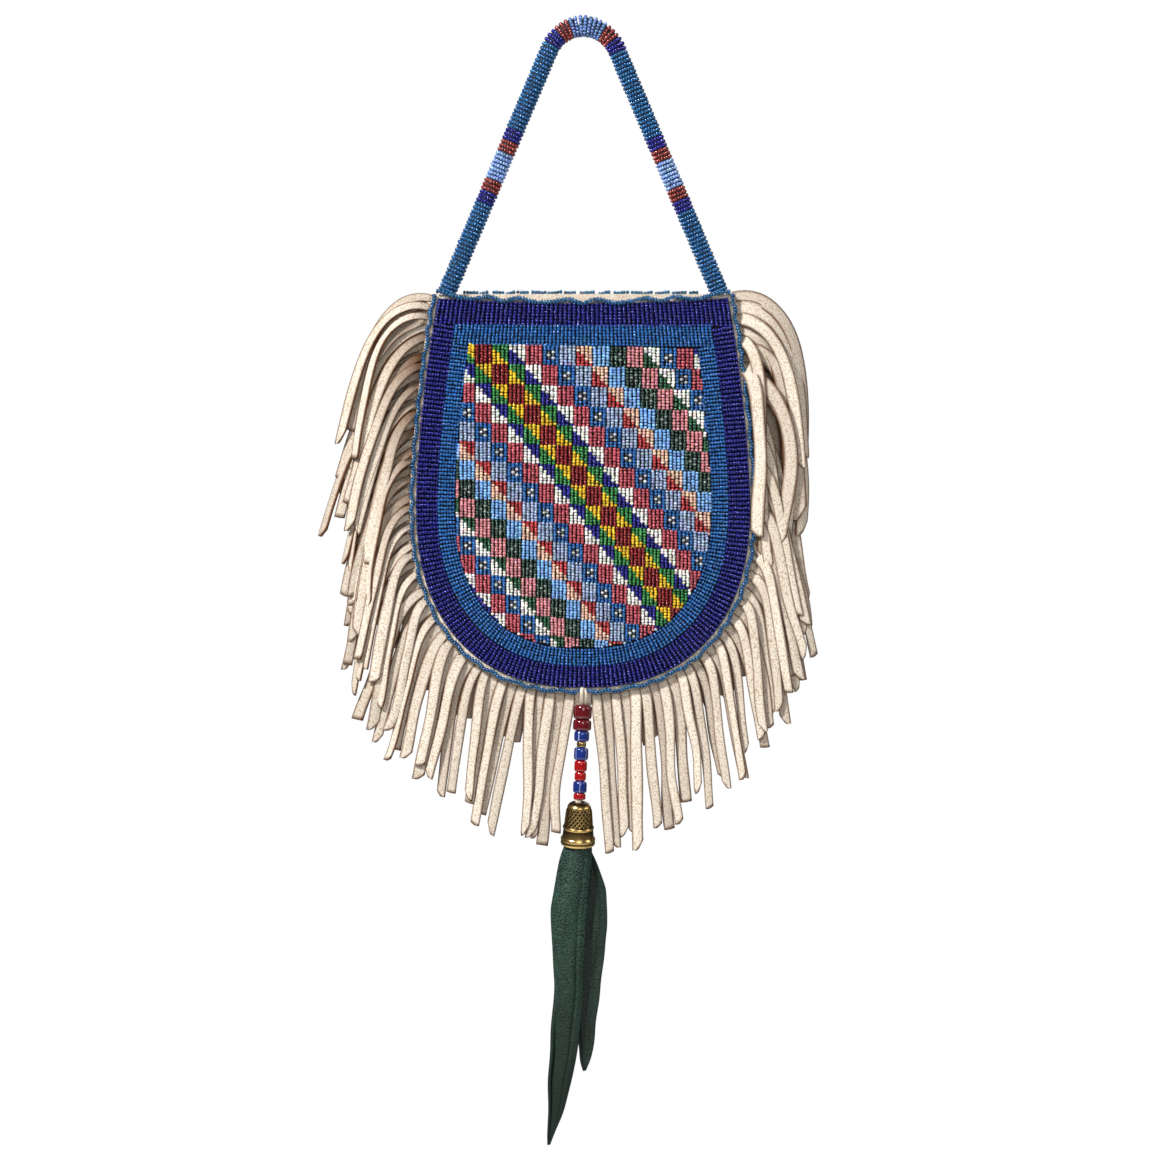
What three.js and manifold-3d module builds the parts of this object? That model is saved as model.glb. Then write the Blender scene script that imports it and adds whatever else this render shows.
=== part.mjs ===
// A beaded hide pouch that hangs by a beaded rope handle.
// Units are millimetres, +Z is up and the beaded front faces -Y.
// The origin is the underside of the handle's top, where a peg or a hand carries it.

import * as THREE from 'three';
import { mergeVertices } from 'three/addons/utils/BufferGeometryUtils.js';
import Module from 'manifold-3d';

const wasm = await Module();
wasm.setup();

// Finishes
const finish = (color, roughness, metalness = 0) => (
  new THREE.MeshStandardMaterial({ color, roughness, metalness })
);
const HIDE = finish(0xe6dac6, 0.9);
const DARK_BLUE_BEADS = finish(0x1d1a86, 0.3);
const MID_BLUE_BEADS = finish(0x2a6fb5, 0.3);
const FIELD_BEADS = finish(0x8a6f86, 0.35);
const OXBLOOD_GLASS = finish(0x6b1220, 0.2);
const BLUE_GLASS = finish(0x2c4aa8, 0.2);
const RED_GLASS = finish(0xc0161c, 0.2);
const GREEN_LEATHER = finish(0x2f4a41, 0.7);
const OLD_BRASS = finish(0x8a6a2c, 0.35, 1);

// Pouch outline, taken at the outer edge of the dark bead border
const CORNER_Z = -128.4;
const WIDEST_Z = -229.3;
const BOTTOM_Z = -318;
const CORNER_HALF_WIDTH = 70.6;
const WIDEST_HALF_WIDTH = 81.1;
const SIDE_BOW = 1.6;
const BOTTOM_ROUNDNESS = 2.35;
const SEAM_SIDE_SHARE = 0.4;

// Hide walls: both mouth rims start level at the corners, the front one sags and the back one rises
const HIDE_WALL = 1.5;
const HIDE_MARGIN = 3.6;
const RIM_Z = CORNER_Z + 2.4;
const FRONT_DEPTH = 8;
const BACK_DEPTH = 5;
const FRONT_RIM_SAG = 4;
const BACK_RIM_RISE = 0.6;
const SAG_FADE = 12;
const BELLY_CURVE = 2.5;

// Clearance kept between neighbouring pieces
const GAP = 0.3;

// Facets: rows above and below the widest place, columns across, and where the lowest row is cut flat
const WALL_GRID = { upper: 5, lower: 9, columns: 10 };
const FIELD_GRID = { upper: 4, lower: 8, columns: 8 };
const BAND_GRID = { upper: 5, lower: 9, columns: 8 };
const BOTTOM_FLAT_ANGLE = THREE.MathUtils.degToRad(88);
const WELD = 1e-3;

// Bead work on the front
const BEAD_LAYER = 1.4;
const OUTER_BORDER = 10;
const INNER_BORDER = 8.4;
const TOP_BAND_STRETCH = 1.22;

// Beaded edging, a thin rope of beads
const SEAM_EDGING_RADIUS = 1.3;
const SEAM_EDGING_OFFSET = 3;
const SEAM_EDGING_STEPS = 32;
const EDGING_SIDES = 6;
const RIM_EDGING_RADIUS = 1.2;
const RIM_EDGING_LIFT = 0.6;
const RIM_EDGING_STAND = 0.75;
const RIM_WAVE = 0.7;
const RIM_WAVES = 9;
const RIM_STEPS = RIM_WAVES * 4;
const RIM_SIDES = 5;

// Handle: a rope of round section, bent over the top and straight down both legs
const HANDLE_RADIUS = 4.75;
const HANDLE_BEND = 18;
const HANDLE_LEAN = THREE.MathUtils.degToRad(22.9);
const HANDLE_FOOT_Z = RIM_Z + 0.6;
const HANDLE_SIDES = 10;
const HANDLE_STEPS = 46;

// Welt and fringe
const WELT = 1.4;
const WELT_OUTER = HIDE_MARGIN + 0.3;
const WELT_INNER = -2.5;
const WELT_FACETS_PER_SIDE = 16;
const STRIPS_PER_SIDE = 32;
const STRIP_WIDTH = 6.4;
const STRIP_THICKNESS = 1.2;
const STRIP_ROOT = 1;
const STRIP_CLEAR = 3;
const STRIP_LAYERS = 4;
const STRIP_LAYER_DEPTH = 1.5;
const STRIP_LAYER_REACH = 0.13;
const STRIP_FORWARD_LENGTH = 8;
const STRIP_DRIFT = 0.01;
const STRIP_CURVE = 1.2;
const HANG_JITTER = 2;
const LENGTH_JITTER = 3;
const SIDE_STOPS = [0, 0.13, 0.3, 0.55, 1];
const BOTTOM_STOPS = [0, 0.3, 1];
const BOTTOM_STATION = 0.72;
const PATH_STEPS = 40;
const PENDANT_GAP = 5.6;

// How the fringe hangs, from the mouth (station 0) to the bottom of the seam (station 1).
// hang is the final lean away from straight down in degrees, bend the length of the curve over.
const LEFT_FRINGE = [
  { station: 0.0, hang: 20, bend: 23, length: 79 },
  { station: 0.2, hang: 23, bend: 14, length: 80 },
  { station: 0.4, hang: 18, bend: 14, length: 71 },
  { station: 0.6, hang: 17, bend: 11, length: 65 },
  { station: 0.8, hang: 14, bend: 9, length: 68 },
  { station: 1.0, hang: 7, bend: 8, length: 75 },
];
const RIGHT_FRINGE = [
  { station: 0.0, hang: -8, bend: 33, length: 81 },
  { station: 0.2, hang: 0, bend: 23, length: 79 },
  { station: 0.4, hang: 6, bend: 16, length: 78 },
  { station: 0.6, hang: 9, bend: 13, length: 66 },
  { station: 0.8, hang: 7, bend: 10, length: 68 },
  { station: 1.0, hang: 3, bend: 8, length: 75 },
];

// Pendant: it hangs from a hole in the hide margin and leans a little to the left
const PENDANT_X = 0.2;
const THONG_HOLE_Z = BOTTOM_Z - 1.6;
const THONG_HOLE_RADIUS = 1.2;
const HOLE_SIDES = 10;
const PENDANT_LEAN = THREE.MathUtils.degToRad(2.1);
const LOOP_RADIUS = 0.8;
const LOOP_STEPS = 22;
const STRAND_RADIUS = 1;
const STRAND_SIDES = 8;
const BEAD_HOLE_RADIUS = 1.3;
const BEAD_SIDES = 12;
const BEAD_SHOULDER = 0.8;
const BEAD_BARREL = 0.5;
const FIRST_BEAD_DROP = 7.5;
const LEGS_JOIN_Z = -6.5;
const KNOT_RADIUS = 2.5;
const KNOT_ROWS = 6;
const THIMBLE_CROWN = 0.9;
const THIMBLE_HOLE_RADIUS = 1.8;
const THIMBLE_SIDES = 18;
const THIMBLE_DROP = 1.1;
const THIMBLE_TILT = THREE.MathUtils.degToRad(15);
const TAIL_THICKNESS = 1;
const TAIL_COLUMNS = [-1, -0.4, 0.4, 1];

// Half of the thong's loop from the join of its legs up to the hole, as shares of its depth and drop
const THONG_LOOP = [
  { depth: 0, drop: 1.12 },
  { depth: 0.45, drop: 0.72 },
  { depth: 1, drop: 0.36 },
  { depth: 1, drop: 0.08 },
  { depth: 0.7, drop: 0 },
];

// Pendant beads from the top down
const PENDANT_BEADS = [
  { name: 'bead_oxblood_upper', length: 7.3, diameter: 9, material: OXBLOOD_GLASS },
  { name: 'bead_oxblood_lower', length: 5.4, diameter: 9, material: OXBLOOD_GLASS },
  { name: 'bead_blue_upper', length: 5.4, diameter: 7.4, material: BLUE_GLASS },
  { name: 'bead_brass', length: 2.8, diameter: 4.6, material: OLD_BRASS },
  { name: 'bead_blue_middle', length: 6.4, diameter: 7, material: BLUE_GLASS },
  { name: 'bead_red_upper', length: 5.6, diameter: 6.2, material: RED_GLASS },
  { name: 'bead_red_middle', length: 4.5, diameter: 5.6, material: RED_GLASS },
  { name: 'bead_blue_lower', length: 6, diameter: 6.7, material: BLUE_GLASS },
  { name: 'bead_red_lower', length: 3.2, diameter: 5.9, material: RED_GLASS },
];

// Thimble profile: drop below its top and radius, outside first, then back up the inside
const THIMBLE_PROFILE = [
  { drop: 0, radius: THIMBLE_HOLE_RADIUS },
  { drop: 0.25, radius: 3.6 },
  { drop: 0.9, radius: 4.8 },
  { drop: 2, radius: 5.6 },
  { drop: 4.8, radius: 6.55 },
  { drop: 11.9, radius: 7.2 },
  { drop: 12.5, radius: 7.6 },
  { drop: 13.4, radius: 7.6 },
  { drop: 13.9, radius: 7.35 },
  { drop: 17.6, radius: 7.75 },
  { drop: 18.4, radius: 8.45 },
  { drop: 20.9, radius: 8.45 },
  { drop: 21.7, radius: 8.1 },
  { drop: 21.7, radius: 7.6 },
  { drop: 13.6, radius: 6.6 },
  { drop: 2.8, radius: 4.8 },
  { drop: 1.5, radius: 3.4 },
  { drop: THIMBLE_CROWN, radius: THIMBLE_HOLE_RADIUS },
];

// Tail strips from the knot down: edges in X, middle of the strip in Y, and how far it bulges
const TAIL_FRONT = [
  { z: -382, left: -4.4, right: 0.2, y: 0.6, bulge: 0.3 },
  { z: -391, left: -7, right: 2.4, y: 3.4, bulge: 2.4 },
  { z: -397, left: -8.8, right: 3.9, y: 4, bulge: 4 },
  { z: -403, left: -11.3, right: 4.2, y: 4.4, bulge: 4.2 },
  { z: -413, left: -13.2, right: 2.9, y: 4.4, bulge: 4 },
  { z: -427.8, left: -15.7, right: 1.7, y: 4, bulge: 3.6 },
  { z: -442.5, left: -15.2, right: 0.7, y: 3.6, bulge: 3 },
  { z: -464.5, left: -13.7, right: 0, y: 3.2, bulge: 2.4 },
  { z: -486.6, left: -15.4, right: -1.5, y: 2.8, bulge: 2 },
  { z: -511, left: -16.7, right: -5.4, y: 2.4, bulge: 1.4 },
  { z: -528, left: -16.9, right: -10.3, y: 2.2, bulge: 0.8 },
  { z: -542.9, left: -16.9, right: -16.1, y: 2, bulge: 0.1 },
];
const TAIL_BACK = [
  { z: -382, left: -4.4, right: 0.2, y: 2.3, bulge: -0.3 },
  { z: -391, left: -6, right: 1.8, y: 6, bulge: -1 },
  { z: -397, left: -7.2, right: 2.6, y: 7, bulge: -2 },
  { z: -404, left: -5.4, right: 6.2, y: 7.2, bulge: -1.6 },
  { z: -418, left: -4.4, right: 11.3, y: 6.8, bulge: -1.8 },
  { z: -437.6, left: -4.4, right: 11.8, y: 6.4, bulge: -1.8 },
  { z: -462, left: -3.9, right: 8.9, y: 5.8, bulge: -1.4 },
  { z: -491.5, left: -2.5, right: 5.4, y: 5.2, bulge: -0.8 },
  { z: -502, left: -1, right: 3.8, y: 4.8, bulge: -0.4 },
  { z: -507, left: 0.6, right: 1.4, y: 4.6, bulge: -0.1 },
];

// A curve whose place at each share of its length comes from a function
class Route extends THREE.Curve {
  constructor(place) {
    super();
    this.place = place;
  }

  getPoint(share) {
    return this.place(share);
  }
}

// A repeatable number between -1 and 1 for the strip of this number
function jitter(seed) {
  const wave = Math.sin(seed * 12.9898) * 43758.5453;
  return 2 * (wave - Math.floor(wave)) - 1;
}

// Half the pouch's width at a height, for an outline set in (or, below zero, grown out) by inset
function halfWidth(z, inset) {
  const widest = WIDEST_HALF_WIDTH - inset;
  if (z > WIDEST_Z) {
    const up = (z - WIDEST_Z) / (CORNER_Z - WIDEST_Z);
    return widest - (WIDEST_HALF_WIDTH - CORNER_HALF_WIDTH) * up ** SIDE_BOW;
  }
  const down = Math.min(1, (WIDEST_Z - z) / (WIDEST_Z - BOTTOM_Z - inset));
  return widest * (1 - down ** BOTTOM_ROUNDNESS) ** (1 / BOTTOM_ROUNDNESS);
}

// Point on the right-hand rounded bottom at an angle from the widest place (0) to the lowest (90 degrees)
function bottomPoint(angle, inset) {
  const power = 2 / BOTTOM_ROUNDNESS;
  const x = (WIDEST_HALF_WIDTH - inset) * Math.max(0, Math.cos(angle)) ** power;
  const z = WIDEST_Z - (WIDEST_Z - BOTTOM_Z - inset) * Math.sin(angle) ** power;
  return { x, z };
}

// How far a wall bellies out at a point of the outline
function belly(x, z, depth) {
  const down = (RIM_Z - z) / (RIM_Z - BOTTOM_Z + HIDE_MARGIN);
  const across = Math.min(1, Math.abs(x) / Math.max(1, halfWidth(z, -HIDE_MARGIN)));
  return depth * (1 - Math.min(1, down) ** BELLY_CURVE) * (1 - across ** 2);
}

// How far the mouth pulls a point up (above zero) or lets it sag
function rimShift(x, z, amount) {
  const across = Math.min(1, Math.abs(x) / halfWidth(RIM_Z, -HIDE_MARGIN));
  return amount * (1 - across ** 2) * Math.exp((z - RIM_Z) / SAG_FADE);
}

// Point in front of the front wall's outer face, or behind the back wall's inner face, at a height over it
function frontPoint(x, z, height) {
  const y = -(WELT / 2 + GAP + belly(x, z, FRONT_DEPTH) + HIDE_WALL + height);
  return new THREE.Vector3(x, y, z - rimShift(x, z, FRONT_RIM_SAG));
}
function backPoint(x, z, height) {
  const y = WELT / 2 + GAP + belly(x, z, BACK_DEPTH) + height;
  return new THREE.Vector3(x, y, z + rimShift(x, z, BACK_RIM_RISE));
}

// The seam's outline from the left rim corner (0) round the bottom (0.5) to the right corner (1)
function seamRoute(offset) {
  return new Route((share) => {
    const side = share < 0.5 ? -1 : 1;
    const way = 1 - Math.abs(2 * share - 1);
    if (way < SEAM_SIDE_SHARE) {
      const z = THREE.MathUtils.lerp(RIM_Z, WIDEST_Z, way / SEAM_SIDE_SHARE);
      return new THREE.Vector3(side * halfWidth(z, -offset), 0, z);
    }
    const angle = ((way - SEAM_SIDE_SHARE) / (1 - SEAM_SIDE_SHARE)) * (Math.PI / 2);
    const { x, z } = bottomPoint(angle, -offset);
    return new THREE.Vector3(side * x, 0, z);
  });
}

// A geometry with nothing but its places left, and its shared corners merged
function welded(geometry) {
  const bare = geometry.clone();
  bare.deleteAttribute('normal');
  bare.deleteAttribute('uv');
  return mergeVertices(bare, WELD);
}

// A closed mesh: shared corners merged, collapsed triangles dropped, faces turned outwards
function closedMesh(loose) {
  const geometry = welded(loose);
  const corners = geometry.index.array;
  const points = geometry.attributes.position;
  const at = (corner) => new THREE.Vector3().fromBufferAttribute(points, corner);
  const kept = [];
  let volume = 0;
  for (let start = 0; start < corners.length; start += 3) {
    const [a, b, c] = corners.slice(start, start + 3);
    if (a !== b && b !== c && c !== a) {
      volume += at(a).dot(at(b).cross(at(c)));
      kept.push(a, b, c);
    }
  }
  geometry.setIndex(volume < 0 ? kept.reverse() : kept);
  geometry.computeVertexNormals();
  return geometry;
}

// A mesh from flat lists of places and of triangle corners
function meshOf(positions, triangles) {
  const geometry = new THREE.BufferGeometry();
  geometry.setAttribute('position', new THREE.Float32BufferAttribute(positions, 3));
  geometry.setIndex(triangles);
  return closedMesh(geometry);
}

// A solid through sections that each have an outer and an inner line of points.
// It is capped at both ends, or joined end to start when it is a ring.
function loft(sections, ring = false) {
  const across = sections[0].outer.length;
  const around = across * 2;
  const positions = [];
  sections.forEach(({ outer, inner }) => {
    [...outer, ...[...inner].reverse()].forEach((point) => positions.push(...point.toArray()));
  });
  const triangles = [];
  const quad = (a, b, c, d) => triangles.push(a, b, c, a, c, d);
  const at = (row, column) => (row % sections.length) * around + (column % around);
  const last = sections.length - 1;
  for (let row = 0; row < (ring ? last + 1 : last); row += 1) {
    for (let column = 0; column < around; column += 1) {
      quad(at(row, column), at(row, column + 1), at(row + 1, column + 1), at(row + 1, column));
    }
  }
  for (let j = 0; j < across - 1 && !ring; j += 1) {
    quad(at(0, j + 1), at(0, j), at(0, around - 1 - j), at(0, around - 2 - j));
    quad(at(last, j), at(last, j + 1), at(last, around - 2 - j), at(last, around - 1 - j));
  }
  return meshOf(positions, triangles);
}

// A round bar along a route
function tube(route, radius, sides, steps) {
  const outline = Array.from({ length: sides }, (_, side) => {
    const angle = (side / sides) * Math.PI * 2;
    return new THREE.Vector2(radius * Math.cos(angle), radius * Math.sin(angle));
  });
  const settings = { steps, extrudePath: route, bevelEnabled: false };
  return new THREE.ExtrudeGeometry(new THREE.Shape(outline), settings);
}

// A geometry as a solid that can be joined and cut, and back again
function solidOf(geometry) {
  const { attributes, index } = welded(geometry);
  return new wasm.Manifold(new wasm.Mesh({
    numProp: 3,
    vertProperties: Float32Array.from(attributes.position.array),
    triVerts: Uint32Array.from(index.array),
  }));
}
function geometryOf(solid) {
  const { vertProperties, triVerts } = solid.getMesh();
  return meshOf(Array.from(vertProperties), Array.from(triVerts));
}

// Rows of the outline's right half from its top to the flat of the bottom
function outlineRows(top, inset, grid) {
  const rows = [];
  for (let row = 0; row < grid.upper; row += 1) {
    const z = THREE.MathUtils.lerp(top, WIDEST_Z, row / grid.upper);
    rows.push({ x: halfWidth(z, inset), z });
  }
  for (let row = 0; row <= grid.lower; row += 1) {
    rows.push(bottomPoint((row / grid.lower) * BOTTOM_FLAT_ANGLE, inset));
  }
  return rows;
}

// A filled patch of the outline between two heights over a wall
function patch(rows, columns, place, outerHeight, innerHeight) {
  const spread = (row, height) => Array.from({ length: columns + 1 }, (_, column) => (
    place(row.x * ((2 * column) / columns - 1), row.z, height)
  ));
  return loft(rows.map((row) => ({ outer: spread(row, outerHeight), inner: spread(row, innerHeight) })));
}

// The hole that the pendant's thong is laced through
function thongHole() {
  const depth = 4 * FRONT_DEPTH;
  const hole = new THREE.CylinderGeometry(THONG_HOLE_RADIUS, THONG_HOLE_RADIUS, depth, HOLE_SIDES);
  return solidOf(hole.translate(PENDANT_X, 0, THONG_HOLE_Z));
}

function frontPanel() {
  const rows = outlineRows(RIM_Z, -HIDE_MARGIN, WALL_GRID);
  const wall = patch(rows, WALL_GRID.columns, frontPoint, 0, -HIDE_WALL);
  return geometryOf(solidOf(wall).subtract(thongHole()));
}

function backPanel() {
  const rows = outlineRows(RIM_Z, -HIDE_MARGIN, WALL_GRID);
  const wall = patch(rows, WALL_GRID.columns, backPoint, HIDE_WALL, 0);
  return geometryOf(solidOf(wall).subtract(thongHole()));
}

// Corners of a closed outline set in by inset: along the top, down the right, round and up the left
function outlineLoop(inset) {
  const right = outlineRows(CORNER_Z - inset * TOP_BAND_STRETCH, inset, BAND_GRID);
  const left = right.map(({ x, z }) => ({ x: -x, z })).reverse();
  const [corner] = right;
  const top = Array.from({ length: BAND_GRID.columns - 1 }, (_, column) => (
    { x: corner.x * ((2 * (column + 1)) / BAND_GRID.columns - 1), z: corner.z }
  ));
  return [...top, ...right, ...left];
}

// A band of bead work between two insets of the outline
function beadBand(outerInset, innerInset) {
  const outside = outlineLoop(outerInset);
  const inside = outlineLoop(innerInset);
  const sections = outside.map((edge, i) => {
    const line = (height) => [edge, inside[i]].map(({ x, z }) => frontPoint(x, z, height));
    return { outer: line(GAP + BEAD_LAYER), inner: line(GAP) };
  });
  return loft(sections, true);
}

function beadField() {
  const inset = OUTER_BORDER + INNER_BORDER + GAP;
  const rows = outlineRows(CORNER_Z - inset * TOP_BAND_STRETCH, inset, FIELD_GRID);
  return patch(rows, FIELD_GRID.columns, frontPoint, GAP + BEAD_LAYER, GAP);
}

// Edging along one side of the seam, from the rim corner to just short of the thong
function seamEdging(side) {
  const seam = seamRoute(SEAM_EDGING_OFFSET);
  const stop = 0.5 - (LOOP_RADIUS + SEAM_EDGING_RADIUS + GAP) / seam.getLength();
  const route = new Route((share) => {
    const along = stop * share;
    const { x, z } = seam.getPointAt(side < 0 ? along : 1 - along);
    return frontPoint(x, z, GAP + SEAM_EDGING_RADIUS);
  });
  return tube(route, SEAM_EDGING_RADIUS, EDGING_SIDES, SEAM_EDGING_STEPS);
}

// Wavy edging in front of the front rim, and along the top of the back rim between the handle's feet
function frontRimEdging() {
  const half = halfWidth(RIM_Z, -SEAM_EDGING_OFFSET) - SEAM_EDGING_RADIUS - RIM_EDGING_RADIUS - GAP;
  return tube(new Route((share) => {
    const point = frontPoint(half * (2 * share - 1), RIM_Z, RIM_EDGING_STAND + RIM_EDGING_RADIUS);
    point.z += RIM_EDGING_LIFT + RIM_WAVE * Math.sin(share * RIM_WAVES * 2 * Math.PI);
    return point;
  }), RIM_EDGING_RADIUS, RIM_SIDES, RIM_STEPS);
}
function backRimEdging() {
  const half = handleFootX() - HANDLE_RADIUS / Math.cos(HANDLE_LEAN) - RIM_EDGING_RADIUS * 2;
  return tube(new Route((share) => {
    const point = backPoint(half * (2 * share - 1), RIM_Z, HIDE_WALL / 2);
    point.z += GAP + RIM_EDGING_RADIUS + RIM_WAVE * Math.sin(share * RIM_WAVES * Math.PI) ** 2;
    return point;
  }), RIM_EDGING_RADIUS, RIM_SIDES, RIM_STEPS);
}

// Handle centre line: where the right leg leaves the bend, and where it meets the rim
function handleTangent() {
  return {
    x: HANDLE_BEND * Math.cos(HANDLE_LEAN),
    z: HANDLE_RADIUS - HANDLE_BEND + HANDLE_BEND * Math.sin(HANDLE_LEAN),
  };
}
function handleFootX() {
  const tangent = handleTangent();
  return tangent.x + (tangent.z - HANDLE_FOOT_Z) * Math.tan(HANDLE_LEAN);
}

function handle() {
  const tangent = handleTangent();
  const overrun = HANDLE_RADIUS;
  const legLength = (tangent.z - HANDLE_FOOT_Z + overrun) / Math.cos(HANDLE_LEAN);
  const halfArc = HANDLE_BEND * (Math.PI / 2 - HANDLE_LEAN);
  const halfLength = halfArc + legLength;
  const route = new Route((share) => {
    const along = halfLength * (2 * share - 1);
    const side = Math.sign(along) || 1;
    const reach = Math.abs(along);
    if (reach < halfArc) {
      const angle = reach / HANDLE_BEND;
      const z = HANDLE_RADIUS - HANDLE_BEND + HANDLE_BEND * Math.cos(angle);
      return new THREE.Vector3(side * HANDLE_BEND * Math.sin(angle), 0, z);
    }
    const down = reach - halfArc;
    const x = tangent.x + down * Math.sin(HANDLE_LEAN);
    return new THREE.Vector3(side * x, 0, tangent.z - down * Math.cos(HANDLE_LEAN));
  });
  const rope = solidOf(tube(route, HANDLE_RADIUS, HANDLE_SIDES, HANDLE_STEPS));
  const below = new THREE.BoxGeometry(4 * CORNER_HALF_WIDTH, 4 * HANDLE_RADIUS, 4 * HANDLE_RADIUS);
  below.translate(0, 0, HANDLE_FOOT_Z - 2 * HANDLE_RADIUS);
  return geometryOf(rope.subtract(solidOf(below)));
}

// A side's fringe table read between its stations
function fringeAt(side, station, column) {
  const rows = side < 0 ? LEFT_FRINGE : RIGHT_FRINGE;
  const next = Math.max(1, rows.findIndex((row) => row.station >= station));
  const [from, to] = [rows[next - 1], rows[next]];
  const share = (station - from.station) / (to.station - from.station);
  return THREE.MathUtils.lerp(from[column], to[column], share);
}

// One strip of the fringe: it leaves the seam square to it, curves over and hangs
function fringeStrip(seam, side, number) {
  const station = (number + 0.5) / STRIPS_PER_SIDE;
  const reach = 0.5 - PENDANT_GAP / seam.getLength();
  const share = side < 0 ? station * reach : 1 - station * reach;
  const root = seam.getPointAt(share);
  const tangent = seam.getTangentAt(share);
  const outward = Math.atan2(side * tangent.z, tangent.x);
  const seed = number + (side < 0 ? 0 : STRIPS_PER_SIDE);
  const hang = fringeAt(side, station, 'hang') + HANG_JITTER * jitter(seed);
  const layer = number % STRIP_LAYERS;
  const bend = fringeAt(side, station, 'bend') * (1 - STRIP_LAYER_REACH * layer);
  const length = fringeAt(side, station, 'length') + LENGTH_JITTER * jitter(seed + 0.5);
  const lean = (along) => {
    const rest = Math.exp(-((along / bend) ** STRIP_CURVE));
    return THREE.MathUtils.lerp(THREE.MathUtils.degToRad(hang), outward, rest);
  };
  const stride = length / PATH_STEPS;
  const path = [root];
  for (let step = 0; step < PATH_STEPS; step += 1) {
    const angle = lean((step + 0.5) * stride);
    const { x, z } = path[step];
    path.push(new THREE.Vector3(x + side * stride * Math.sin(angle), 0, z - stride * Math.cos(angle)));
  }
  const stops = station > BOTTOM_STATION ? BOTTOM_STOPS : SIDE_STOPS;
  const sections = stops.map((stop) => {
    const along = stop * length;
    const angle = lean(along);
    const point = path[Math.round(stop * PATH_STEPS)].clone();
    const free = Math.max(0, along - STRIP_CLEAR);
    const forward = STRIP_LAYER_DEPTH * layer * (1 - Math.exp(-free / STRIP_FORWARD_LENGTH));
    point.y = -forward - STRIP_DRIFT * free;
    const wide = new THREE.Vector3(Math.cos(angle), 0, side * Math.sin(angle));
    const line = (y) => [-STRIP_WIDTH / 2, STRIP_WIDTH / 2].map((edge) => (
      point.clone().addScaledVector(wide, edge).add(new THREE.Vector3(0, y, 0))
    ));
    return { outer: line(-STRIP_THICKNESS / 2), inner: line(STRIP_THICKNESS / 2) };
  });
  return loft(sections);
}

// The welt sewn between the walls, with all its strips and the thong's hole
function fringe() {
  const outer = seamRoute(WELT_OUTER);
  const inner = seamRoute(WELT_INNER);
  const facets = WELT_FACETS_PER_SIDE * 2;
  const sections = Array.from({ length: facets + 1 }, (_, facet) => {
    const share = facet / facets;
    const ends = [outer.getPointAt(share), inner.getPointAt(share)];
    const line = (y) => ends.map(({ x, z }) => new THREE.Vector3(x, y, z));
    return { outer: line(-WELT / 2), inner: line(WELT / 2) };
  });
  let solid = solidOf(loft(sections)).subtract(thongHole());
  const seam = seamRoute(WELT_OUTER - STRIP_ROOT);
  [-1, 1].forEach((side) => {
    for (let number = 0; number < STRIPS_PER_SIDE; number += 1) {
      solid = solid.add(solidOf(fringeStrip(seam, side, number)));
    }
  });
  return geometryOf(solid);
}

// Pendant pieces, in a frame whose origin is the thong's hole and whose -Z runs down the strand
function pendantBead({ length, diameter }, top) {
  const radius = diameter / 2;
  const half = (length - GAP) / 2;
  const profile = [
    [BEAD_HOLE_RADIUS, -half],
    [radius * BEAD_SHOULDER, -half],
    [radius, -half * BEAD_BARREL],
    [radius, half * BEAD_BARREL],
    [radius * BEAD_SHOULDER, half],
    [BEAD_HOLE_RADIUS, half],
    [BEAD_HOLE_RADIUS, -half],
  ].map(([across, up]) => new THREE.Vector2(across, up));
  return turned(profile, BEAD_SIDES, top - length / 2);
}

// A lathed piece stood upright with its own zero at a height
function turned(profile, sides, z) {
  const geometry = new THREE.LatheGeometry(profile, sides);
  geometry.rotateX(Math.PI / 2);
  geometry.translate(0, 0, z);
  return closedMesh(geometry);
}

// The thimble, with its crown tipped towards the front
function thimble(top) {
  const loop = [...THIMBLE_PROFILE, THIMBLE_PROFILE[0]];
  const upright = turned(loop.map(({ drop, radius }) => new THREE.Vector2(radius, -drop)), THIMBLE_SIDES, 0);
  return upright.rotateX(THIMBLE_TILT).translate(0, 0, top);
}

// The thong: a loop through the hide, a strand down through the beads and a knot inside the thimble
function thong(thimbleTop) {
  const depth = WELT / 2 + GAP + HIDE_WALL + GAP + LOOP_RADIUS;
  const leg = (face) => THONG_LOOP.map((row) => (
    new THREE.Vector3(0, face * depth * row.depth, LEGS_JOIN_Z * row.drop)
  ));
  const route = new THREE.CatmullRomCurve3([...leg(-1), ...leg(1).reverse()]);
  const loop = tube(route, LOOP_RADIUS, EDGING_SIDES, LOOP_STEPS);
  const knotZ = thimbleTop - THIMBLE_CROWN - 2 * GAP - KNOT_RADIUS;
  const strand = new THREE.CylinderGeometry(STRAND_RADIUS, STRAND_RADIUS, LEGS_JOIN_Z - knotZ, STRAND_SIDES);
  strand.rotateX(Math.PI / 2);
  strand.translate(0, 0, (LEGS_JOIN_Z + knotZ) / 2);
  const knot = new THREE.SphereGeometry(KNOT_RADIUS, STRAND_SIDES, KNOT_ROWS);
  knot.translate(0, 0, knotZ);
  return geometryOf(solidOf(loop).add(solidOf(strand)).add(solidOf(knot)));
}

// A leather strip of the tail, curved across and tapering to its tip
function tailStrip(rows) {
  return loft(rows.map(({ z, left, right, y, bulge }) => {
    const line = (face) => TAIL_COLUMNS.map((place) => new THREE.Vector3(
      THREE.MathUtils.lerp(left, right, (place + 1) / 2),
      y - bulge * (1 - place ** 2) + face,
      z,
    ));
    return { outer: line(-TAIL_THICKNESS / 2), inner: line(TAIL_THICKNESS / 2) };
  }));
}

const bag = new THREE.Group();
const pendant = new THREE.Group();
pendant.position.set(PENDANT_X, 0, THONG_HOLE_Z);
pendant.rotation.y = PENDANT_LEAN;
bag.add(pendant);

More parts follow.
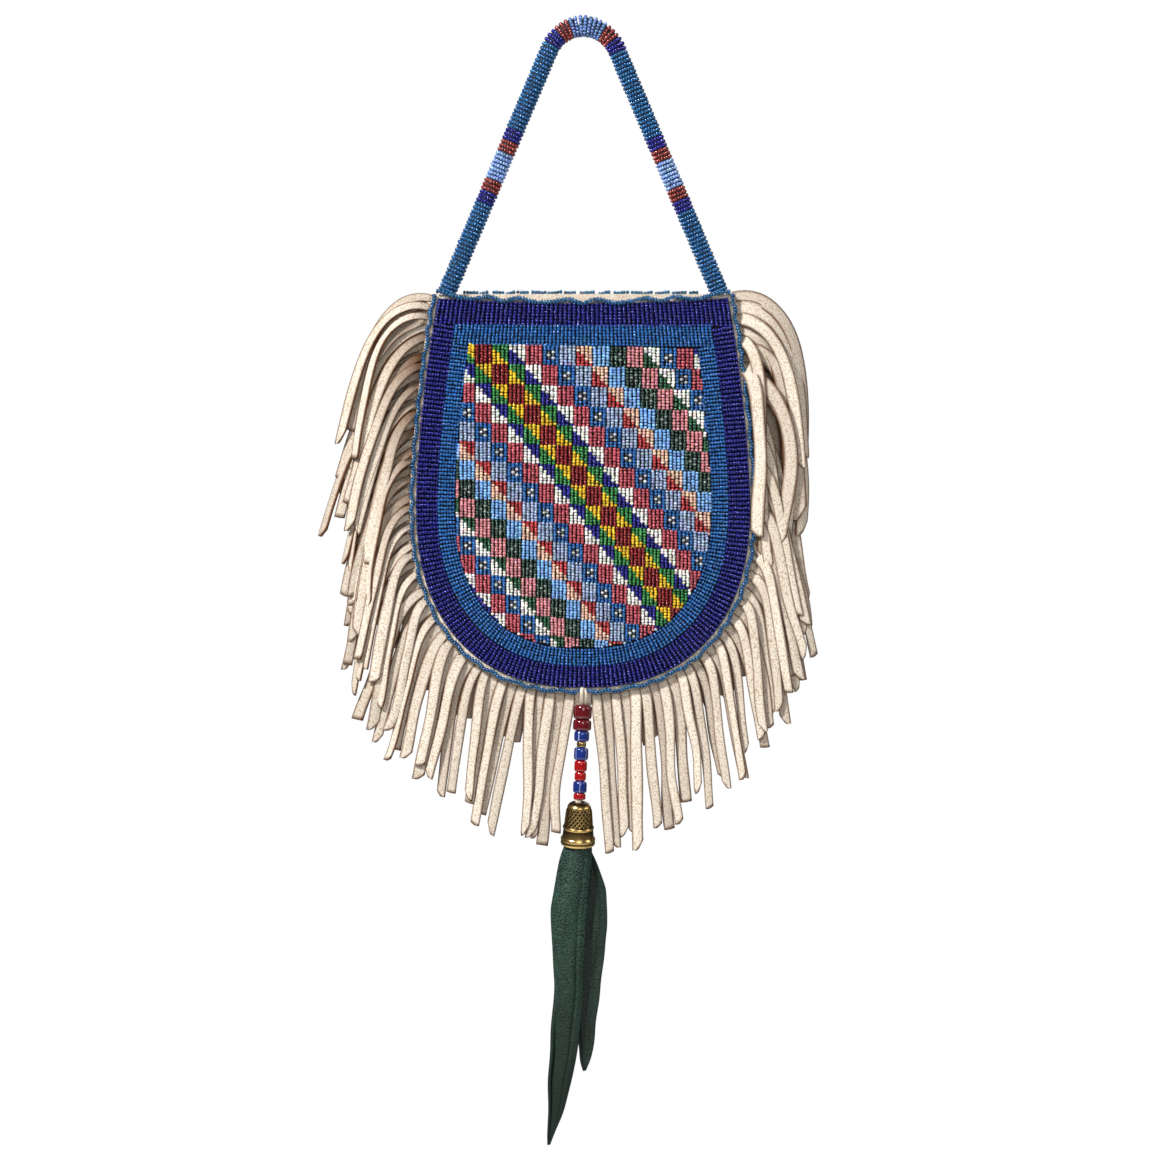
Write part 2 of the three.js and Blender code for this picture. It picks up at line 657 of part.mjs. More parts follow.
function addPiece(group, name, geometry, material) {
  const mesh = new THREE.Mesh(geometry, material);
  mesh.name = name;
  group.add(mesh);
}

addPiece(bag, 'front_panel', frontPanel(), HIDE);
addPiece(bag, 'back_panel', backPanel(), HIDE);
addPiece(bag, 'outer_bead_border', beadBand(0, OUTER_BORDER), DARK_BLUE_BEADS);
addPiece(bag, 'inner_bead_border', beadBand(OUTER_BORDER + GAP, OUTER_BORDER + INNER_BORDER), MID_BLUE_BEADS);
addPiece(bag, 'bead_field', beadField(), FIELD_BEADS);
addPiece(bag, 'fringe', fringe(), HIDE);
addPiece(bag, 'seam_edging_left', seamEdging(-1), MID_BLUE_BEADS);
addPiece(bag, 'seam_edging_right', seamEdging(1), MID_BLUE_BEADS);
addPiece(bag, 'front_rim_edging', frontRimEdging(), MID_BLUE_BEADS);
addPiece(bag, 'back_rim_edging', backRimEdging(), MID_BLUE_BEADS);
addPiece(bag, 'handle', handle(), MID_BLUE_BEADS);

let drop = -FIRST_BEAD_DROP;
PENDANT_BEADS.forEach((bead) => {
  addPiece(pendant, bead.name, pendantBead(bead, drop), bead.material);
  drop -= bead.length;
});
addPiece(pendant, 'thimble', thimble(drop - THIMBLE_DROP), OLD_BRASS);
addPiece(pendant, 'thong', thong(drop - THIMBLE_DROP), HIDE);
addPiece(bag, 'tail_front', tailStrip(TAIL_FRONT), GREEN_LEATHER);
addPiece(bag, 'tail_back', tailStrip(TAIL_BACK), GREEN_LEATHER);

export default bag;
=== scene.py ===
import math

import bmesh
import bpy
import numpy as np
from mathutils import Matrix, Vector


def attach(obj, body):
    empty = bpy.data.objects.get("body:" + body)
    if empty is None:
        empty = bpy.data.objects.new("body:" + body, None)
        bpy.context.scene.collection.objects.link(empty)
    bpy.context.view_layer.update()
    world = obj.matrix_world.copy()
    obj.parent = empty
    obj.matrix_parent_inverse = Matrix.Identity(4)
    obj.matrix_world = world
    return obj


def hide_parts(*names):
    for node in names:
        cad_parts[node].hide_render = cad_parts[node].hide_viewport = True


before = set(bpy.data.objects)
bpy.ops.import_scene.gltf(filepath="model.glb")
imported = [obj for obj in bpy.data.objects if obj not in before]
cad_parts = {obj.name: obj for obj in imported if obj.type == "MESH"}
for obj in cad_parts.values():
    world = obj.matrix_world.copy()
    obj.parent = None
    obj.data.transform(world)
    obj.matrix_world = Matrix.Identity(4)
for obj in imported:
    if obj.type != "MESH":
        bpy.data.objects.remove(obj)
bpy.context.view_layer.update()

# Sizes are millimetres in the part's frame: +Z up, the beaded front faces -Y. Every mesh ends in metres.
MM = 0.001

# Pouch outline at the outer edge of the dark bead border
CORNER_Z = -128.4
WIDEST_Z = -229.3
BOTTOM_Z = -318
CORNER_HALF_WIDTH = 70.6
WIDEST_HALF_WIDTH = 81.1
SIDE_BOW = 1.6
BOTTOM_ROUNDNESS = 2.35

# Hide walls
HIDE_WALL = 1.5
HIDE_MARGIN = 3.6
RIM_Z = CORNER_Z + 2.4
FRONT_DEPTH = 8
BACK_DEPTH = 5
FRONT_RIM_SAG = 4
BACK_RIM_RISE = 0.6
SAG_FADE = 12
BELLY_CURVE = 2.5
GAP = 0.3
WELT = 1.4
SIDE_POINTS = 60
BOTTOM_POINTS = 90
WALL_COLUMNS = 56
WALL_ROWS = 72
SIDE_ROWS_SHARE = 0.42
FLAT_BOTTOM = math.radians(88)
PUCKER = 0.35
PUCKER_PERIOD = 13
PUCKER_FADE = 16
PUCKER_SLANT = 0.7
WALL_HEIGHT = RIM_Z - BOTTOM_Z + HIDE_MARGIN

# Tone of the hide in one attribute: plain up to the first value, darker with dirt near the back rim, with
# painted shade on strips that lie behind or in deep layers and at the strips' roots, and 1 on a cut edge,
# which is drawn dark partly as painted shadow between strips
PLAIN_HIDE = 0.8
BACK_WALL_TONE = 0.81
BACK_RIM_SOIL = 0.05
BACK_RIM_SOIL_REACH = 20
# Painted shade on strips that hang behind, and on strips in deeper layers
BEHIND_SHADE = 0.9
DEEP_LAYER_SHADE = 0.06
# Painted shade at the roots of the strips, where they crowd at the seam: how dark, how far down it fades,
# its share on the right side, and the top strips that have none
ROOT_SHADE = 0.14
ROOT_SHADE_REACH = 0.35
RIGHT_ROOT_SHADE = 0.4
UNSHADED_TOP_STRIPS = 6

# Bead work: a string of beads rises a little between its two stitches and presses into the hide
BEAD_LENGTH = 1.4
BEAD_WIDTH = 1.9
BEAD_SHOULDER = (0.94, 0.94, 1.24)
BORDER_ARCH = 0.5
BORDER_SINK = 0.35
LANE_ARCH = 0.9
LANE_SINK = 0.4
BAND_OVERHANG = 0.6
# How far past the bead work's outer edge the painted shade under the beads reaches
BEAD_SHADE_MARGIN = 0.9
TOP_BAND_TILT = 0.01
OUTER_BORDER = 10
INNER_BORDER = 8.4
TOP_BAND_STRETCH = 1.22
DARK_STRING_PITCH = 2.2
LIGHT_STRING_PITCH = 1.84
FIELD_FILL = 0.91
BAND_FILL = 0.92
WIDEST_BEAD = 1.2

# How much one seed bead differs from the next
PLACE_SPREAD = 0.08
SLANT_SPREAD = 0.08
SIZE_SPREAD = 0.05
LENGTH_FILL = 0.94
BRIGHTNESS_SPREAD = 0.2
BRIGHTNESS_LIMITS = (0.5, 1.7)
HUE_SPREAD = 0.06
HUE_LIMITS = (0.7, 1.4)

# Field of lanes, by a lane's number: where the dark red diagonal runs, a block's width and the lane's tilt.
# Each is a start and its change with the number.
DIAGONAL_X = (-48.5, 8.13, -0.063)
DIAGONAL_Z = (-155.6, -9.92)
BLOCK_PITCH = (8.2, -0.067)
LANE_TILT = (0.025, 0.0042)
LANES = 17
UPPER_LANES = 7
STRINGS_PER_BLOCK = 4
BEADS_PER_STRING = 7
BLOCKS_EACH_WAY = 24
SPLIT_STEPS = (2, 3, 5, 6)
FIELD_MARGIN = 0.6
STRING_DRIFT = 0.06
STRING_SLIP = 0.22

# Edging: one string of beads that weaves from side to side along its line, on dark sinew drawn wide so that
# it also stands as painted shade in the gaps between beads
EDGING_BEAD_WIDTH = 2.65
EDGING_BEAD_LENGTH = 1.5
EDGING_SHADE_THREAD_WIDTH = 1.6
EDGING_SHADE_THREAD_LENGTH = 1.15 * EDGING_BEAD_LENGTH
EDGING_RISE = 0.3
EDGING_DRIFT = 0.9
SEAM_EDGING_OFFSET = 2.7
SEAM_EDGING_RADIUS = 1.3
SEAM_EDGING_SINK = 0.4
SEAM_WEAVE = 0.5
SEAM_WAVE = 11
THONG_ROOM = 1.6
RIM_EDGING_RADIUS = 1.2
RIM_EDGING_STAND = 0.75
RIM_EDGING_SINK = 0.5
RIM_EDGING_LIFT = 0.9
RIM_EDGING_DROP = 0.2
RIM_WEAVE = 0.9
RIM_WAVE = 19
BACK_EDGING_BEAD_WIDTH = 2
BACK_EDGING_OUT = 0.6
BACK_EDGING_UP = 0.5
BACK_WEAVE = 0.5
GROUP_BEADS = 4
GROUP_BEADS_SPREAD = 1.5
GROUP_SLANT = 0.4
GROUP_GAP = 1.1
GROUP_GAP_SPREAD = 0.9

# Handle
HANDLE_RADIUS = 4.75
HANDLE_BEND = 18
BEND_POINTS = 24
HANDLE_LEAN = math.radians(22.9)
HANDLE_FOOT_Z = RIM_Z + 0.6
HANDLE_ROW_PITCH = 2.06
HANDLE_ROW_FILL = 0.94
HANDLE_BEADS_AROUND = 18
HANDLE_CORE_RADIUS = 3.7
HANDLE_CORE_COLUMNS = 20
HANDLE_CORE_ROWS = 90
HANDLE_TOP_SWELL = 0.7
HANDLE_SWELL_REACH = 11

# Fringe: the welt in the seam and the strips that are cut from it
STRIPS_PER_SIDE = 52
STRIP_ROOT_WIDTH = 5.3
STRIP_TIP_WIDTH = 5
STRIP_THICKNESS = 1.2
ROOT_PINCH = 0.64
PINCH_REACH = 0.45
STRIP_ROWS = 32
STRIP_COLUMNS = 5
STRIP_CURVE = 1.2
STRIP_ROOT_OFFSET = 2.9
STRIP_CUP = math.radians(24)
CUP_GROWTH = 3.5
FLATTEST_CUP = 0.02
TIP_SLANT = 0.9
STRIP_LAYERS = 5
STRIP_FRONT = 1.4
STRIP_LAYER = 1.7
BOTTOM_DEPTH_SHARE = 0.35
ROOT_HELD = 1.5
FORWARD_REACH = 4
FORWARD_LOSS = 0.3
TWIST_REACH = 22
TWIST_CURVE = 1.5
WELT_INNER = 2.5
WELT_OUTER = 5.4
WELT_ROWS = 400
TAB_DROP = 5.6
TAB_HALF_WIDTH = 4.8
PENDANT_GAP = 4.2
BACK_STRIP_DEPTH = 2.4
BACK_STRIP_SHARES = (0.85, 0.4)
BACK_STRIP_SPAN = 0.7
STRIPS_WITH_NONE_BEHIND = 3
MOUTH_BREADTH = 1.2
MOUTH_BREADTH_BEHIND = 1.45
NEAR_THIMBLE = 0.95
CLEAR_OF_THIMBLE = {-1: 8.5, 1: 4}
LEFT_CLUMPS = (5, 6, 5, 6, 4, 3, 6, 2, 3, 7, 5)
RIGHT_CLUMPS = (6, 5, 5, 4, 5, 4, 3, 4, 3, 2, 2, 3, 1, 5)

# How far strips stray from the tables below: lean in degrees, length and sway in millimetres, the sway's
# phase in radians, and shares of the rest. Spans are stations.
CLUMP_GATHER = 1.7
GATHER_FROM = 0.4
GATHER_SPAN = 0.3
CLUMP_LEAN = 2.6
STRIP_LEAN = 2
BOTTOM_LEAN_SHARE = 0.4
TURN_SPREAD = 0.15
BEND_SPAN = 0.2
BEND_OF_BACK_LAYER = 0.3
BEND_OF_FRONT_LAYER = 0.45
BEND_SPREAD = 0.2
LENGTH_SPREAD = 6
TWIST_SHARE = 0.35
TWIST_SPREAD = 0.8
CLUMP_SWAY = 1.7
CLUMP_PHASE = 3
BREADTH = 1.05
BREADTH_SPREAD = 0.17
TIP_BREADTH = 0.92
TIP_SPREAD = 0.16
CUP_SHARE = 0.6
CUP_SPREAD = 0.4
WIDTH_RIPPLE = 0.06

# How the fringe hangs, from the mouth (station 0) to the bottom of the seam (station 1). Columns: station,
# share of the turn away from straight down that the root keeps, final lean in degrees, length of the curve
# over, length, twist in degrees
LEFT_FRINGE = (
    (0.0, 1.0, 11, 22, 88, 35),
    (0.05, 0.9, 12, 22, 88, 40),
    (0.13, 0.7, 13, 22, 88, 50),
    (0.25, 0.66, 10.5, 21, 85, 55),
    (0.4, 0.68, 11, 19, 81, 50),
    (0.53, 0.75, 12, 16, 74, 42),
    (0.68, 0.85, 11, 12, 69, 30),
    (0.77, 1.0, 10, 10, 64, 22),
    (0.84, 1.0, 8, 9, 67, 18),
    (0.92, 1.0, 6, 8, 72, 14),
    (1.0, 1.0, 6.5, 8, 73, 12),
)
RIGHT_FRINGE = (
    (0.2, 0.45, 3, 16, 84, -20),
    (0.35, 0.55, 12, 15, 82, 25),
    (0.45, 0.65, 14, 13, 77, 25),
    (0.53, 0.7, 11, 11, 71, -25),
    (0.68, 0.85, 8, 9, 66, -22),
    (0.77, 1.0, 7, 8, 65, -18),
    (0.84, 1.0, 5, 8, 67, -16),
    (0.92, 1.0, 4, 8, 75, -14),
    (1.0, 1.0, 3, 8, 77, -12),
)

# The first strips at the right of the mouth, one by one: the columns after the station, then the layer
# counted from the back
RIGHT_TOP_STRIPS = (
    (1.0, -3, 27, 92, 30, 0),
    (0.95, -1, 25, 90, 35, 1),
    (0.8, 5, 22, 86, -15, 3),
    (0.7, 1, 22, 92, 40, 1),
    (0.5, -2, 14, 76, -20, 4),
    (0.8, 2, 22, 97, -10, 2),
    (0.9, -1, 23, 102, 40, 0),
    (0.4, 0, 10, 86, -20, 5),
    (0.7, -9, 26, 94, -15, 4),
    (0.7, -7, 26, 94, 35, 2),
    (0.4, 0, 12, 84, 25, 1),
)

# Bead colours, sRGB
BEADS = {
    "oxblood": 0x761317,
    "yellow": 0xE2BA1E,
    "green": 0x267338,
    "navy": 0x17187A,
    "white": 0xF4F2EC,
    "rose": 0xB04C58,
    "mid_blue": 0x1E5E9E,
    "grey_blue": 0x98A8C6,
    "red": 0xAB3638,
    "peach": 0xE6BCA4,
    "sky": 0x7CAEE4,
    "black_green": 0x09140F,
    "pink": 0xCF868C,
    "dark_green": 0x153F28,
    "speck": 0xB9BDC0,
    "dark_blue_border": 0x0C0F66,
    "light_border": 0x165694,
    "edging": 0x0D4870,
    "brick": 0x85332D,
    "light_blue": 0x86A6DC,
    "top_blue": 0x6484BC,
    "handle_blue": 0x1B5A8C,
    "black": 0x101216,
    "dark_edging": 0x1B5878,
    "dim_speck": 0x6A7571,
    # Near black sinew, also standing as painted shade in the gaps between edging beads
    "thread_and_gap_shade": 0x0A1420,
}

# Field chart by the number of blocks from the dark red diagonal: one colour, a block split in steps between
# the near and the far colour, or a ground with specks in its middle
FIELD_CHART = (
    ("oxblood", None, None),
    ("yellow", "green", None),
    ("navy", "white", None),
    ("rose", None, None),
    ("mid_blue", None, ("speck", "black")),
    ("grey_blue", None, None),
    ("red", "peach", None),
    ("sky", None, None),
    ("black_green", None, ("dim_speck", "black_green")),
    ("pink", None, None),
    ("dark_green", "white", None),
    ("mid_blue", None, ("speck", "black")),
    ("rose", None, None),
    ("white", "navy", None),
    ("green", "yellow", None),
)
SPECK_COLUMNS = (1, 2)
SPECK_ROWS = (2, 3, 4)

# Handle rows from the top of the bend down the left and the right leg
HANDLE_ROWS = (
    (3, 5, "top_blue"),
    (3, 3, "brick"),
    (3, 3, "navy"),
    (22, 22, "handle_blue"),
    (3, 3, "navy"),
    (3, 3, "brick"),
    (7, 7, "light_blue"),
    (3, 3, "brick"),
    (3, 3, "navy"),
    (26, 26, "handle_blue"),
)

# Pendant: it hangs from a hole in the hide, and its beads are listed by node, length, diameter and finish
PENDANT_X = 0.2
THONG_HOLE_Z = BOTTOM_Z - 1.6
PENDANT_LEAN = math.radians(2.1)
FIRST_BEAD_DROP = 7.5
BEAD_HOLE_RADIUS = 1.3
SHOULDER_OF_LENGTH = 0.5
SHOULDER_OF_RADIUS = 0.4
BEAD_STEPS = 32
BEAD_STRIPES = 4
STRIPE_SHARPNESS = 6
BRASS_BEAD_TARNISH = 0.25
PENDANT_BEADS = (
    ("bead_oxblood_upper", 7.3, 9, "oxblood_glass"),
    ("bead_oxblood_lower", 5.4, 9, "oxblood_glass"),
    ("bead_blue_upper", 5.4, 7.4, "blue_glass"),
    ("bead_brass", 2.8, 4.6, "brass"),
    ("bead_blue_middle", 6.4, 7, "blue_glass"),
    ("bead_red_upper", 5.6, 6.2, "red_glass"),
    ("bead_red_middle", 4.5, 5.6, "red_glass"),
    ("bead_blue_lower", 6, 6.7, "blue_glass"),
    ("bead_red_lower", 3.2, 5.9, "red_glass"),
)

# Thimble profile: drop below its crown and radius, down the outside and back up the inside
THIMBLE_TILT = math.radians(15)
THIMBLE_DROP = 1.1
THIMBLE_WALL = 0.6
THIMBLE_CROWN = (
    (0.0, 1.8), (0.1, 2.6), (0.25, 3.6), (0.55, 4.3), (0.9, 4.8),
    (1.4, 5.3), (1.8, 5.6), (2.1, 5.75), (2.3, 5.7),
)
THIMBLE_SKIRT = (
    (11.7, 7.1), (12.1, 7.25), (12.4, 7.55), (12.9, 7.7), (13.3, 7.6), (13.6, 7.35),
    (14.2, 7.35), (17.4, 7.65), (17.9, 8.0), (18.4, 8.4), (19.1, 8.5), (19.6, 8.3),
    (19.9, 8.25), (20.3, 8.45), (21.0, 8.45), (21.5, 8.25), (21.7, 8.0),
)
THIMBLE_INSIDE = ((21.7, 7.6), (13.6, 6.6), (2.8, 4.8), (1.5, 3.4), (0.9, 1.8))

# Knurling between the crown and the skirt: the drops and the radii of its outline, its pits and their slopes
KNURL_TOP = 2.4
KNURL_BOTTOM = 11.4
KNURL_OUTLINE = ((KNURL_TOP, 4.8, KNURL_BOTTOM), (5.75, 6.5, 7.1))
KNURL_AROUND = 19
KNURL_ROWS = 3.5
KNURL_DEPTH = 0.55
KNURL_STEPS = 6
KNURL_RIDGE = 0.06
KNURL_SLOPE = 0.3

# Where tarnish stays on the thimble: from one drop below its crown to another, and how much
RUBBED_BRASS = 0.05
THIMBLE_TARNISH = (
    (-1, 1.3, 0.9),
    (11.4, 12.2, 0.95),
    (13.4, 14.3, 0.95),
    (14.2, 17.8, 0.6),
    (19.5, 20, 0.95),
)

# Thong: width and points of each lace at the hole, two legs in front and the lace behind
LACE_THICKNESS = 0.9
LACE_CUP = 0.25
LACE_COLUMNS = 4
LACE_ROWS = 40
LACE_SMOOTHING = 6
STRAND_WIDTH = 1.6
KNOT_RADIUS = 1.7
THONG_LACES = (
    (1.7, ((-0.5, -2.4, 1.6), (-0.7, -5.2, 0.6), (-0.9, -6.2, -2), (-0.8, -4.6, -4.6), (-0.5, -0.6, -8.4))),
    (1.3, ((0.6, -2.4, 1.2), (0.9, -4.8, 0.2), (1.4, -5.6, -2.4), (1.3, -4, -5), (0.7, -0.4, -8.6))),
    (2.2, ((0, 2.4, 1.4), (0, 3.6, 0), (0, 3.4, -3), (0, 1.6, -6), (0, 0.4, -8.6))),
)

# Tail strips: height, left and right edge, edges in Y and bulge towards the front
TAIL_THICKNESS = 1
TAIL_COLUMNS = 36
TAIL_ROWS = 120
TAIL_STEPS = 160
TAIL_SMOOTHING = 10
# How the tail strips darken towards their tips
DARKENING_GROWTH = 1.6
DARKENING_DELAY = 0.35
TAIL_FRONT = (
    (-382, -4.4, 0.2, 0.6, 0.3),
    (-391, -7, 2.4, 3.4, 2.4),
    (-397, -9.2, 4.2, 4, 4),
    (-403, -11.3, 4.2, 4.4, 4.2),
    (-413, -13.2, 2.9, 4.4, 4),
    (-427.8, -15.7, 1.7, 4, 3.6),
    (-442.5, -15.2, 0.7, 3.6, 3),
    (-464.5, -13.7, 0, 3.2, 2.4),
    (-486.6, -15.4, -1.5, 2.8, 2),
    (-511, -16.7, -5.4, 2.4, 1.4),
    (-528, -16.9, -10.3, 2.2, 0.8),
    (-542.9, -16.9, -16.1, 2, 0.1),
)
TAIL_BACK = (
    (-382, -4.4, 0.2, 2.3, -0.3),
    (-391, -6, 1.8, 6, -1),
    (-397, -7.2, 2.6, 7, -2),
    (-404, -5.4, 6.2, 7.2, -1.6),
    (-418, -4.4, 11.3, 6.8, -1.8),
    (-437.6, -4.4, 11.8, 6.4, -1.8),
    (-462, -3.9, 8.9, 5.8, -1.4),
    (-491.5, -2.5, 5.4, 5.2, -0.8),
    (-502, -1, 3.8, 4.8, -0.4),
    (-507, 0.6, 1.4, 4.6, -0.1),
)

# Folds along a tail strip, placed across it from -1 to 1: a crease that drifts, and an edge that turns over
FOLD_WIDTH = 0.1
CREASE_PLACE = 0.62
CREASE_DRIFT = 0.3
LIP_PLACE = -0.94
LIP_HEIGHT = 1.6
TROUGH_PLACE = -0.72
TROUGH_DEPTH = 0.9
LIP_START = 0.475
LIP_GROWTH = 4
RIPPLE = 0.03
UNEVEN_EDGE = 0.25

# Picture: its middle, its width at the pouch and the camera's distance
PICTURE_MIDDLE = (-1.5, -266)
PICTURE_WIDTH = 568.4
CAMERA_DISTANCE = 2000
SENSOR = 36

# Stage: a pale floor well below the tail, and soft boxes by name, place, size and power
FLOOR_Z = -760
FLOOR_RADIUS = 1100
LIT_HEIGHT = -250
SURROUND_LIGHT = 0.1
SOFT_BOXES = (
    ("key", (-900, -1000, 800), 280, 36),
    ("front", (300, -1700, 300), 1000, 8),
    ("side", (1200, -300, 200), 700, 3),
    ("back", (500, 1600, 400), 1000, 5),
)


def jitter(seed):
    """A repeatable number between -1 and 1."""
    wave = math.sin(seed * 12.9898) * 43758.5453
    return 2 * (wave - math.floor(wave)) - 1


def linear(color):
    """An sRGB hex value as linear red, green, blue and alpha."""
    channels = [(color >> shift & 255) / 255 for shift in (16, 8, 0)]
    return (*(c / 12.92 if c <= 0.04045 else ((c + 0.055) / 1.055) ** 2.4 for c in channels), 1)


def mix(low, high, share):
    return low + (high - low) * share


def clamp(value, low=0, high=1):
    return min(high, max(low, value))


def table_at(rows, place):
    """The columns of a table read at a place of its first column."""
    keys = [row[0] for row in rows]
    order = np.argsort(keys)
    columns = np.array(rows, float)[order]
    return [float(np.interp(place, columns[:, 0], column)) for column in columns.T[1:]]


def smooth_table(rows, count, passes):
    """The table read at many even steps, with its corners rounded."""
    keys = np.linspace(rows[0][0], rows[-1][0], count)
    columns = np.array([table_at(rows, key) for key in keys])
    for _ in range(passes):
        columns[1:-1] = (columns[:-2] + 2 * columns[1:-1] + columns[2:]) / 4
    return np.column_stack([keys, columns])


# Pouch form, as in the part
def half_width(z, inset):
    """Half the outline's width at a height, drawn in by an inset."""
    widest = WIDEST_HALF_WIDTH - inset
    if z > WIDEST_Z:
        up = (z - WIDEST_Z) / (CORNER_Z - WIDEST_Z)
        return widest - (WIDEST_HALF_WIDTH - CORNER_HALF_WIDTH) * up**SIDE_BOW
    down = min(1, (WIDEST_Z - z) / (WIDEST_Z - BOTTOM_Z - inset))
    return widest * (1 - down**BOTTOM_ROUNDNESS) ** (1 / BOTTOM_ROUNDNESS)


def bottom_point(angle, inset):
    """X and Z on the right half of the round bottom, from its side (angle 0) to its lowest point."""
    power = 2 / BOTTOM_ROUNDNESS
    x = (WIDEST_HALF_WIDTH - inset) * max(0, math.cos(angle)) ** power
    return x, WIDEST_Z - (WIDEST_Z - BOTTOM_Z - inset) * math.sin(angle) ** power


def belly(x, z, depth):
    """How far a wall stands out from the seam's plane: all its depth at the mouth, none at the seam."""
    down = clamp((RIM_Z - z) / WALL_HEIGHT)
    across = min(1, abs(x) / max(1, half_width(z, -HIDE_MARGIN)))
    return depth * (1 - down**BELLY_CURVE) * (1 - across**2)


def rim_shift(x, z, amount):
    """How far the sag or rise in the middle of a rim moves a place of the wall."""
    across = min(1, abs(x) / half_width(RIM_Z, -HIDE_MARGIN))
    return amount * (1 - across**2) * math.exp((z - RIM_Z) / SAG_FADE)


def front_point(x, z, height):
    """A point at a height over the front wall's outer face."""
    y = -(WELT / 2 + GAP + belly(x, z, FRONT_DEPTH) + HIDE_WALL + height)
    return Vector((x, y, z - rim_shift(x, z, FRONT_RIM_SAG)))


def back_point(x, z, height):
    """A point at a height behind the back wall's inner face."""
    y = WELT / 2 + GAP + belly(x, z, BACK_DEPTH) + height
    return Vector((x, y, z + rim_shift(x, z, BACK_RIM_RISE)))


class Route:
    """A line of points read by the distance along it."""

    def __init__(self, points):
        self.points = np.array(points, float)
        steps = np.linalg.norm(np.diff(self.points, axis=0), axis=1)
        self.marks = np.concatenate([[0], np.cumsum(steps)])
        self.length = float(self.marks[-1])

    def at(self, distance):
        return Vector([float(np.interp(distance, self.marks, axis)) for axis in self.points.T])

    def heading(self, distance, reach=0.4):
        return (self.at(distance + reach) - self.at(distance - reach)).normalized()


def seam(offset, top=RIM_Z):
    """The outline grown by offset: down the left side, round the bottom and up the right side."""
    side = [(half_width(z, -offset), z) for z in np.linspace(top, WIDEST_Z, SIDE_POINTS, endpoint=False)]
    right = side + [bottom_point(angle, -offset) for angle in np.linspace(0, math.pi / 2, BOTTOM_POINTS)]
    left = [(-x, 0, z) for x, z in right]
    return Route(left + [(x, 0, z) for x, z in right[-2::-1]])


def inward(heading):
    """Square to a heading of the seam, towards the pouch."""
    return Vector((-heading.z, 0, heading.x))


# Materials, and the sockets of a Mix node that blends two colours
SHARE, FIRST, SECOND = 0, 6, 7
BLEND = 2


def add(tree, kind, links=None, **settings):
    """Adds a node with its settings. links maps an input to a value or to another node's output."""
    made = tree.nodes.new("ShaderNode" + kind)
    for name, value in settings.items():
        setattr(made, name, value)
    for socket, value in (links or {}).items():
        if isinstance(value, bpy.types.NodeSocket):
            tree.links.new(value, made.inputs[socket])
        else:
            made.inputs[socket].default_value = value
    return made


def new_material(name, sockets):
    """A material, its node tree and its shader with these values."""
    material = bpy.data.materials.new(name)
    material.use_nodes = True
    shader = material.node_tree.nodes["Principled BSDF"]
    for socket, value in sockets.items():
        shader.inputs[socket].default_value = value
    return material, material.node_tree, shader


def seed_bead_glass():
    """Drawn lead glass, tumbled and fire polished: opaque colour, a small sharp light on each bead."""
    material, tree, shader = new_material("seed_bead_glass", {"IOR": 1.9, "Specular IOR Level": 0.8})
    place = add(tree, "TexCoord").outputs["Object"]
    tint = add(tree, "Attribute", attribute_name="bead_color").outputs["Color"]
    swirl = add(tree, "TexNoise", {"Vector": place, "Scale": 1 / (0.7 * MM), "Detail": 2})
    shade = add(tree, "MapRange", {"Value": swirl.outputs["Fac"], "To Min": 0.8, "To Max": 1.2})
    colour = add(tree, "VectorMath", {0: tint, 1: shade.outputs["Result"]}, operation="MULTIPLY")
    tree.links.new(colour.outputs["Vector"], shader.inputs["Base Color"])
    # The light on a bead takes a paler tint of its own colour, as it does in coloured glass
    hue = add(tree, "SeparateColor", {0: tint}, mode="HSV")
    pale = add(tree, "Math", {0: hue.outputs[1], 1: 0.6}, operation="MULTIPLY")
    glint = add(tree, "CombineColor", {0: hue.outputs[0], 1: pale.outputs["Value"], 2: 1}, mode="HSV")
    tree.links.new(glint.outputs[0], shader.inputs["Specular Tint"])
    wear = add(tree, "TexNoise", {"Vector": place, "Scale": 1 / (5 * MM), "Detail": 3})
    gloss = add(tree, "MapRange", {"Value": wear.outputs["Fac"], "To Min": 0.12, "To Max": 0.24})
    tree.links.new(gloss.outputs["Result"], shader.inputs["Roughness"])
    return material


